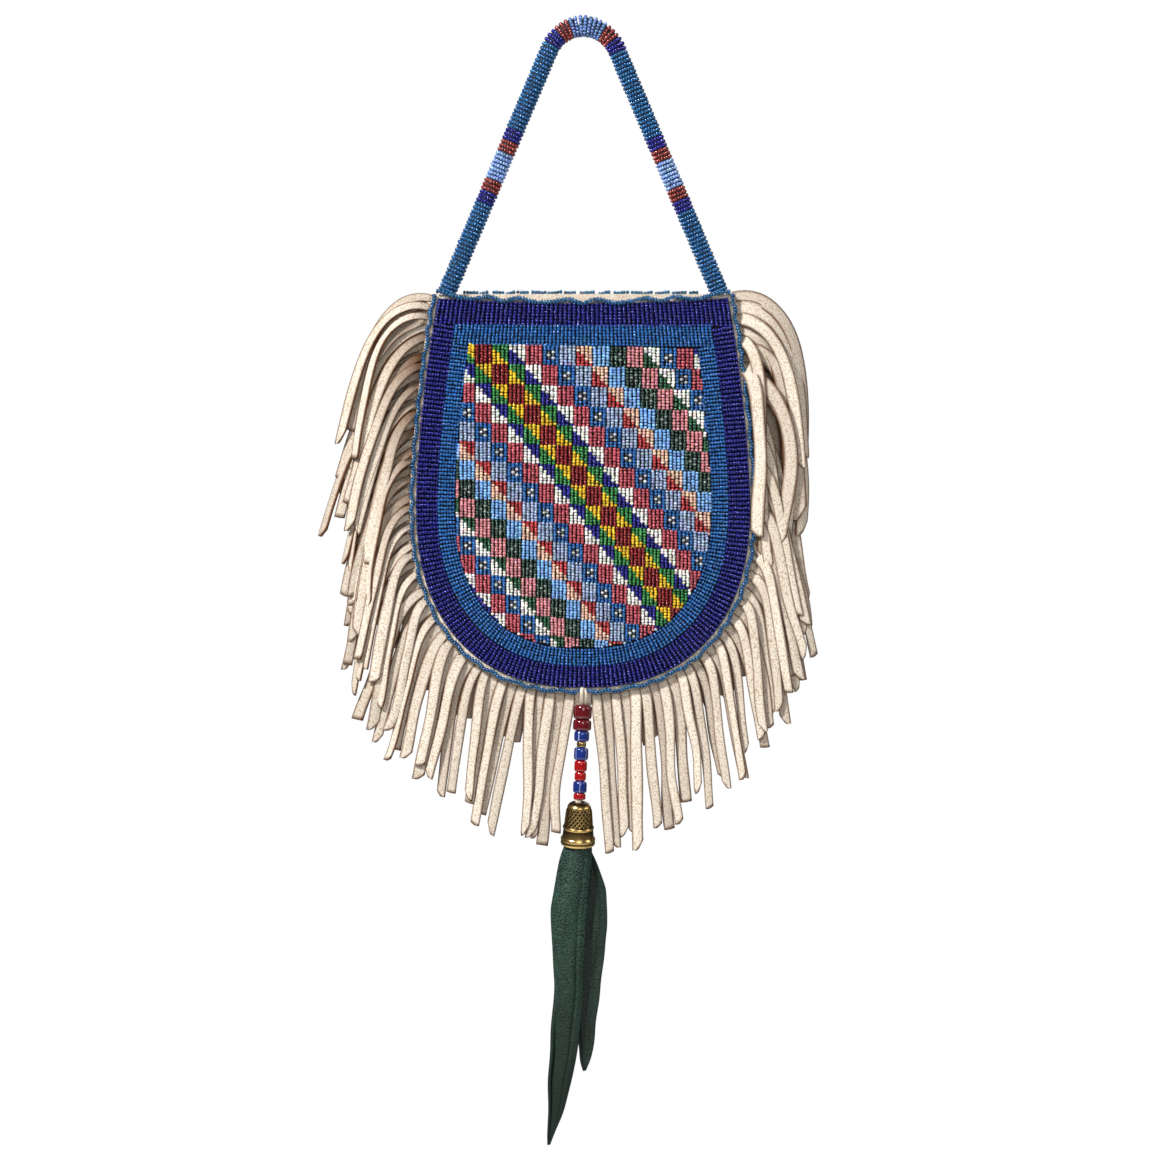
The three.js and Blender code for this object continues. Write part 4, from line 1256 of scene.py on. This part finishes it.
def strip_shape(side, number, station):
    """How one strip hangs: the table's columns and its depth before the seam. Half numbers hang behind."""
    seed = number + (0 if side < 0 else STRIPS_PER_SIDE)
    behind = number % 1 > 0
    if side > 0 and number < len(RIGHT_TOP_STRIPS) and not behind:
        turn, hang, bend, length, twist, layer = RIGHT_TOP_STRIPS[int(number)]
    elif side > 0 and number < len(RIGHT_TOP_STRIPS) - 1:
        pair = np.array(RIGHT_TOP_STRIPS[int(number):int(number) + 2], float)
        turn, hang, bend, length, twist, layer = pair.mean(axis=0)
    else:
        turn, hang, bend, length, twist = table_at(LEFT_FRINGE if side < 0 else RIGHT_FRINGE, station)
        which, place = clump(side, number)
        layer = strip_layer(number)
        gather = CLUMP_GATHER * clamp((station - GATHER_FROM) / GATHER_SPAN)
        stray = CLUMP_LEAN * jitter(which + 9 * side + 0.37) + STRIP_LEAN * jitter(seed)
        hang += gather * place + mix(1, BOTTOM_LEAN_SHARE, station) * stray
        turn *= 1 + TURN_SPREAD * jitter(seed + 0.65)
        spread = min(1, station / BEND_SPAN)
        forward = layer / (STRIP_LAYERS - 1)
        bend *= mix(1 + BEND_OF_BACK_LAYER * spread, 1 - BEND_OF_FRONT_LAYER * spread, forward)
        bend *= 1 + BEND_SPREAD * spread * jitter(seed + 0.25)
        length += LENGTH_SPREAD * jitter(seed + 0.5)
        twist *= TWIST_SHARE + TWIST_SPREAD * jitter(seed + 0.75)
        layer += jitter(which + 4 * side + 0.77)
    depth = (STRIP_FRONT + STRIP_LAYER * layer) * mix(1, BOTTOM_DEPTH_SHARE, station)
    if station > NEAR_THIMBLE:
        hang = max(hang, CLEAR_OF_THIMBLE[side])
    if behind:
        depth = -BACK_STRIP_DEPTH
        length *= mix(*BACK_STRIP_SHARES, min(1, station / BACK_STRIP_SPAN))
    return turn, math.radians(hang), bend, length, math.radians(twist), depth


def strip_path(route, side, number):
    """Rows of a strip that stands out from the seam, curves over and hangs: point, lean, twist."""
    station = (number + 0.5) / STRIPS_PER_SIDE
    share = station * (0.5 - PENDANT_GAP / route.length)
    distance = route.length * (share if side < 0 else 1 - share)
    root, heading = route.at(distance), route.heading(distance)
    outward = math.atan2(side * heading.z, heading.x)
    turn, hang, bend, length, twist, depth = strip_shape(side, number, station)
    together = clump(side, number)[0] * side
    sway = CLUMP_SWAY * jitter(together + 0.15) + jitter(number * side + 0.125)
    phase = CLUMP_PHASE * jitter(together + 0.8) + jitter(number * side + 0.8)
    stride = length / STRIP_ROWS
    x, z, rows = root.x, root.z, []
    for row in range(STRIP_ROWS + 1):
        along = row * stride
        down = along / length
        lean = mix(hang, turn * outward, math.exp(-((along / bend) ** STRIP_CURVE)))
        wobble = sway * down * (math.sin(4 * down + phase) + 0.3 * math.sin(11 * down + 2 * phase))
        forward = 1 - math.exp(-max(0, along - ROOT_HELD) / FORWARD_REACH)
        y = -depth * forward * (1 - FORWARD_LOSS * down)
        turned_by = twist * min(1, along / TWIST_REACH) ** TWIST_CURVE
        rows.append((Vector((x + wobble, y, z)), lean, turned_by))
        x += side * stride * math.sin(lean)
        z -= stride * math.cos(lean)
    return rows


def strip_tones(side, number):
    """Painted shade of a strip from its layer, and painted shade at its root, most on the left side."""
    deep = 1 - strip_layer(number) / (STRIP_LAYERS - 1)
    # Painted shade: strips behind and in deep layers are darkened to stand for the shade between strips
    shaded = BEHIND_SHADE if number % 1 > 0 else PLAIN_HIDE + DEEP_LAYER_SHADE * deep
    soil_and_shade = ROOT_SHADE * (1 + jitter(number * side + 0.9)) * (1 - number / STRIPS_PER_SIDE)
    soil_and_shade *= (1 if side < 0 else RIGHT_ROOT_SHADE) * min(1, number / UNSHADED_TOP_STRIPS)
    return shaded, soil_and_shade


def strip(bm, cut_edge, route, side, number):
    """One strip: a ribbon that twists, cups across its width and ends in a slanted cut. Strips before the
    left side of the seam are drawn in at their roots."""
    path = strip_path(route, side, number)
    behind = number % 1 > 0
    mark = number * side
    slant = TIP_SLANT * jitter(mark + 0.6)
    broad = BREADTH + BREADTH_SPREAD * jitter(mark + 0.35)
    cupped = STRIP_CUP * (CUP_SHARE + CUP_SPREAD * jitter(mark + 0.05))
    if side > 0 and number < len(RIGHT_TOP_STRIPS):
        broad *= MOUTH_BREADTH_BEHIND if behind else MOUTH_BREADTH
    root_width = STRIP_ROOT_WIDTH * broad
    tip_width = STRIP_TIP_WIDTH * (TIP_BREADTH + TIP_SPREAD * jitter(mark + 0.45)) * broad
    pinch = 1
    if side < 0 and not behind:
        pinch = mix(ROOT_PINCH, 1, clamp(4 * number / STRIPS_PER_SIDE - 2))
    shaded, soil_and_shade = strip_tones(side, number)

    def place(across, down):
        spot = clamp(down + slant * across * down**8 / STRIP_ROWS * 3, 0, 1 - 1e-6) * STRIP_ROWS
        low = int(spot)
        first, second = path[low], path[low + 1]
        part = spot - low
        lean, twist = mix(first[1], second[1], part), mix(first[2], second[2], part)
        flat = Vector((math.cos(lean), 0, side * math.sin(lean)))
        wide = flat * math.cos(twist) + Vector((0, side * math.sin(twist), 0))
        face = Vector((0, -math.cos(twist), 0)) + flat * (side * math.sin(twist))
        ripple = 1 + WIDTH_RIPPLE * math.sin(9 * down + number)
        width = mix(root_width, tip_width, down) * ripple
        width *= mix(pinch, 1, min(1, down / PINCH_REACH))
        cup = max(FLATTEST_CUP, cupped * min(1, down * CUP_GROWTH))
        radius, turn = width / 2 / cup, cup * across
        middle = first[0].lerp(second[0], part)
        return middle + wide * radius * math.sin(turn) - face * radius * (1 - math.cos(turn))

    for vert, across, down in sheet_grid(bm, STRIP_COLUMNS, STRIP_ROWS, place):
        # Painted shade near the root, fading down the strip
        root_shaded = PLAIN_HIDE + soil_and_shade * math.exp(-down / ROOT_SHADE_REACH)
        # A strip's edges go dark as its cut edge, partly as painted shadow between strips, and its tip as a
        # cut
        vert[cut_edge] = max(shaded, root_shaded, abs(across)) if down < 1 else 1


def fringe():
    """The welt and its strips, cut from one hide. A strip hangs behind each gap, except near the pendant."""
    bm = bmesh.new()
    cut_edge = bm.verts.layers.float.new("cut_edge")
    welt = seam(0)

    def on_welt(across, down):
        distance = down * welt.length
        square = inward(welt.heading(clamp(distance, 0.5, welt.length - 0.5)))
        point = welt.at(distance)
        outer = WELT_OUTER + TAB_DROP * math.exp(-((point.x / TAB_HALF_WIDTH) ** 4))
        return point + square * mix(-outer, WELT_INNER, (across + 1) / 2)

    sheet_grid(bm, 2, WELT_ROWS, on_welt)
    route = seam(STRIP_ROOT_OFFSET)
    for side in (-1, 1):
        for half in range(2 * STRIPS_PER_SIDE - 1):
            number = half / 2
            if half % 2 == 0 or number < STRIPS_PER_SIDE - STRIPS_WITH_NONE_BEHIND - 0.5:
                strip(bm, cut_edge, route, side, number)
    facing(bm, Vector((0, -1, 0)))
    piece = from_bmesh(bm, "fringe_strips", "hide")
    thicken(piece, STRIP_THICKNESS, 0)
    return shown_as(piece, "hide", "fringe")


# Pendant
PENDANT = Matrix.Translation((PENDANT_X, 0, THONG_HOLE_Z)) @ Matrix.Rotation(PENDANT_LEAN, 4, "Y")


def turned(profile, steps):
    """A closed profile of (radius, height) pairs spun about Z."""
    bm = bmesh.new()
    verts = [bm.verts.new((radius, 0, height)) for radius, height in profile]
    edges = [bm.edges.new((a, b)) for a, b in zip(verts, verts[1:] + verts[:1])]
    bmesh.ops.spin(
        bm,
        geom=verts + edges,
        cent=(0, 0, 0),
        axis=(0, 0, 1),
        angle=2 * math.pi,
        steps=steps,
        use_merge=True,
    )
    bmesh.ops.remove_doubles(bm, verts=bm.verts, dist=1e-4)
    bmesh.ops.recalc_face_normals(bm, faces=bm.faces)
    return bm


def pendant_bead(node, length, diameter, finish, top):
    """A drilled bead with round shoulders; the blue ones have white stripes along them."""
    half, radius = length / 2, diameter / 2
    middle = top - length / 2
    shoulder = min(SHOULDER_OF_LENGTH * half, SHOULDER_OF_RADIUS * radius)
    corner = [math.radians(angle) for angle in (90, 60, 30, 0)]
    upper = [
        (radius - shoulder * (1 - math.cos(a)), half - shoulder * (1 - math.sin(a))) for a in corner
    ]
    outside = upper + [(r, -z) for r, z in reversed(upper)]
    profile = [(BEAD_HOLE_RADIUS, half)] + outside + [(BEAD_HOLE_RADIUS, -half)]
    bm = turned([(r, middle + z) for r, z in profile], BEAD_STEPS)
    turns = [math.atan2(vert.co.y, vert.co.x) * BEAD_STRIPES / (2 * math.pi) + top / 3 for vert in bm.verts]
    lines = [max(0, 1 - STRIPE_SHARPNESS * abs(turn - round(turn))) for turn in turns]
    bmesh.ops.transform(bm, matrix=PENDANT, verts=bm.verts)
    piece = from_bmesh(bm, node + "_turned", finish)
    scalar(piece, "stripe", lines)
    scalar(piece, "recess", [BRASS_BEAD_TARNISH] * len(lines))
    shown_as(piece, finish, node)


def knurl(angle, drop):
    """Height from 0 in the pits to 1 on the ridges of the lattice between them."""
    around = angle * KNURL_AROUND / (2 * math.pi)
    down = (drop - KNURL_TOP) * KNURL_ROWS / (KNURL_BOTTOM - KNURL_TOP)
    from_ridge = min(abs((way + 0.5) % 1 - 0.5) * 2 for way in (around + down, around - down))
    return 1 - min(1, max(0, from_ridge - KNURL_RIDGE) / KNURL_SLOPE)


def thimble(top):
    """A brass thimble tipped to the front: crown, diamond knurling, ridge, plain band and rolled rim."""
    rows = np.linspace(KNURL_TOP, KNURL_BOTTOM, round(KNURL_ROWS * KNURL_STEPS) + 1)
    knurled = [(drop, np.interp(drop, *KNURL_OUTLINE)) for drop in rows]
    outline = (*THIMBLE_CROWN, *knurled, *THIMBLE_SKIRT, *THIMBLE_INSIDE)
    bm = turned([(radius, -drop) for drop, radius in outline], KNURL_AROUND * KNURL_STEPS)
    recess = []
    for vert in bm.verts:
        drop, radius = -vert.co.z, math.hypot(vert.co.x, vert.co.y)
        outside = radius > np.interp(drop, *KNURL_OUTLINE) - THIMBLE_WALL / 2
        height = 1
        if outside and KNURL_TOP < drop < KNURL_BOTTOM:
            height = knurl(math.atan2(vert.co.y, vert.co.x), drop)
        vert.co.xy *= 1 - KNURL_DEPTH * (1 - height) / radius
        tarnish = [amount for start, end, amount in THIMBLE_TARNISH if start < drop < end]
        recess.append(max(1 - height, RUBBED_BRASS, *tarnish))
    bmesh.ops.rotate(bm, matrix=Matrix.Rotation(THIMBLE_TILT, 3, "X"), verts=bm.verts)
    bmesh.ops.translate(bm, vec=(0, 0, top), verts=bm.verts)
    bmesh.ops.transform(bm, matrix=PENDANT, verts=bm.verts)
    piece = from_bmesh(bm, "thimble_turned", "brass")
    scalar(piece, "recess", recess)
    shown_as(piece, "brass", "thimble")


def lace(bm, width, points):
    """A flat lace along a smooth line that follows the points."""
    marks = np.linspace(0, 1, len(points))
    rows = [(mark, *point) for mark, point in zip(marks, points)]
    route = Route(smooth_table(rows, LACE_ROWS, LACE_SMOOTHING)[:, 1:])

    def place(across, down):
        point = route.at(down * route.length)
        return point + Vector((across * width / 2, -LACE_CUP * (1 - across**2), 0))

    sheet_grid(bm, LACE_COLUMNS, LACE_ROWS, place)


def thong(thimble_top):
    """The hide lace: two legs over the edging, one behind, the strand through the beads and its knot."""
    bm = bmesh.new()
    for width, points in THONG_LACES:
        lace(bm, width, points)
    lace(bm, STRAND_WIDTH, ((0, -0.2, -7), (0.1, 0, -30), (0, 0, thimble_top - 4)))
    bmesh.ops.transform(bm, matrix=PENDANT, verts=bm.verts)
    facing(bm, Vector((0, -1, 0)))
    bmesh.ops.solidify(bm, geom=bm.faces[:], thickness=LACE_THICKNESS)
    knot = bmesh.ops.create_icosphere(bm, subdivisions=3, radius=KNOT_RADIUS)["verts"]
    for vert in knot:
        lump = 1 + 0.16 * math.sin(4 * vert.co.x + 2 * vert.co.z) + 0.1 * math.sin(5 * vert.co.y)
        vert.co = vert.co * lump + Vector((-0.4, -0.3, thimble_top + 0.6))
    bmesh.ops.transform(bm, matrix=PENDANT, verts=knot)
    shown_as(from_bmesh(bm, "thong_lace", "hide"), "hide", "thong")


def fold_line(across, middle):
    """Height of a soft fold along a tail strip: 1 on its line."""
    return math.exp(-(((across - middle) / FOLD_WIDTH) ** 2))


def tail(node, rows, fold, age):
    """A tapering leather strip, curved across, with a crease along it and an edge turned over."""
    table = smooth_table(rows, TAIL_STEPS, TAIL_SMOOTHING)
    top, bottom = table[0][0], table[-1][0]

    def place(across, down):
        z = mix(top, bottom, down)
        left, right, y, bulge = table_at(table, z)
        bow = math.sin(math.pi * down)
        over = clamp((down - LIP_START) * LIP_GROWTH)
        crease = fold_line(across, CREASE_PLACE - CREASE_DRIFT * down) * bow
        lip = LIP_HEIGHT * fold_line(across, LIP_PLACE) * over
        trough = TROUGH_DEPTH * fold_line(across, TROUGH_PLACE) * over
        ripple = RIPPLE * (right - left) * math.sin(21 * down + 2.5 * across) * bow
        x = mix(left, right, (across + 1) / 2) + UNEVEN_EDGE * math.sin(37 * down) * down
        return Vector((x, y - bulge * (1 - across**2) + fold * (crease - lip + trough) + ripple, z))

    bm = bmesh.new()
    sheet_grid(bm, TAIL_COLUMNS, TAIL_ROWS, place)
    facing(bm, Vector((0, -1, 0)))
    shares = [(vert.co.z - top) / (bottom - top) for vert in bm.verts]
    # Darker towards the tip, never lighter than the floor given; the back strip's floor is painted shade
    tail_darkness = [min(1, max(age, share * DARKENING_GROWTH - DARKENING_DELAY)) for share in shares]
    piece = from_bmesh(bm, node + "_leather", "green_leather")
    scalar(piece, "age", tail_darkness)
    thicken(piece, TAIL_THICKNESS, 0)
    shown_as(piece, "green_leather", node)


def pendant():
    """The string of beads, the thimble under it, the thong that carries them and the two tail strips."""
    top = -FIRST_BEAD_DROP
    for node, length, diameter, finish in PENDANT_BEADS:
        pendant_bead(node, length, diameter, finish, top)
        top -= length
    thimble(top - THIMBLE_DROP)
    thong(top - THIMBLE_DROP)
    tail("tail_front", TAIL_FRONT, fold=0.9, age=0)
    # The back strip is darkened all over as painted shade, for it hangs in the front strip's shadow
    tail("tail_back", TAIL_BACK, fold=0.5, age=0.8)


# Whole pouch
front = hide_wall("front_panel", front_point, True)
back = hide_wall("back_panel", back_point, False)
bead_band(
    "outer_bead_border", -BAND_OVERHANG, OUTER_BORDER, DARK_STRING_PITCH,
    "dark_blue_border", "dark_blue_beads", seed=21,
)
bead_band(
    "inner_bead_border", OUTER_BORDER, OUTER_BORDER + INNER_BORDER, LIGHT_STRING_PITCH,
    "light_border", "mid_blue_beads", seed=22,
)
bead_field()
seam_edging(-1, "seam_edging_left")
seam_edging(1, "seam_edging_right")
rim_edging()
beaded_handle()
strips = fringe()
pendant()


# Stage
def floor():
    bm = bmesh.new()
    bmesh.ops.create_circle(bm, cap_ends=True, segments=96, radius=FLOOR_RADIUS)
    bmesh.ops.translate(bm, vec=(0, 0, FLOOR_Z), verts=bm.verts)
    from_bmesh(bm, "floor", "paper")


def soft_box(name, place, size, power):
    """A round soft box that looks at the pouch."""
    lamp = bpy.data.lights.new(name, "AREA")
    lamp.shape = "DISK"
    lamp.size = size * MM
    lamp.energy = power
    box = bpy.data.objects.new(name, lamp)
    box.location = Vector(place) * MM
    target = Vector((0, 0, LIT_HEIGHT)) * MM
    box.rotation_euler = (target - box.location).to_track_quat("-Z", "Y").to_euler()
    bpy.context.scene.collection.objects.link(box)


def surround():
    """White to the eye, softer as a light."""
    world = bpy.data.worlds.new("surround")
    world.use_nodes = True
    tree = world.node_tree
    tree.nodes.clear()
    seen = add(tree, "Background", {"Color": linear(0xFFFFFF), "Strength": 1})
    light = add(tree, "Background", {"Color": linear(0xFFFFFF), "Strength": SURROUND_LIGHT})
    eye = add(tree, "LightPath")
    both = add(
        tree, "MixShader",
        {0: eye.outputs["Is Camera Ray"], 1: light.outputs[0], 2: seen.outputs[0]},
    )
    add(tree, "OutputWorld", {"Surface": both.outputs[0]})
    bpy.context.scene.world = world


def camera():
    lens = bpy.data.cameras.new("camera")
    lens.sensor_width = SENSOR
    lens.lens = SENSOR * CAMERA_DISTANCE / PICTURE_WIDTH
    eye = bpy.data.objects.new("camera", lens)
    x, z = PICTURE_MIDDLE
    eye.location = Vector((x, -CAMERA_DISTANCE, z)) * MM
    eye.rotation_euler = (math.pi / 2, 0, 0)
    bpy.context.scene.collection.objects.link(eye)
    bpy.context.scene.camera = eye


floor()
for box in SOFT_BOXES:
    soft_box(*box)
surround()
camera()
bpy.context.scene.view_settings.view_transform = "Standard"
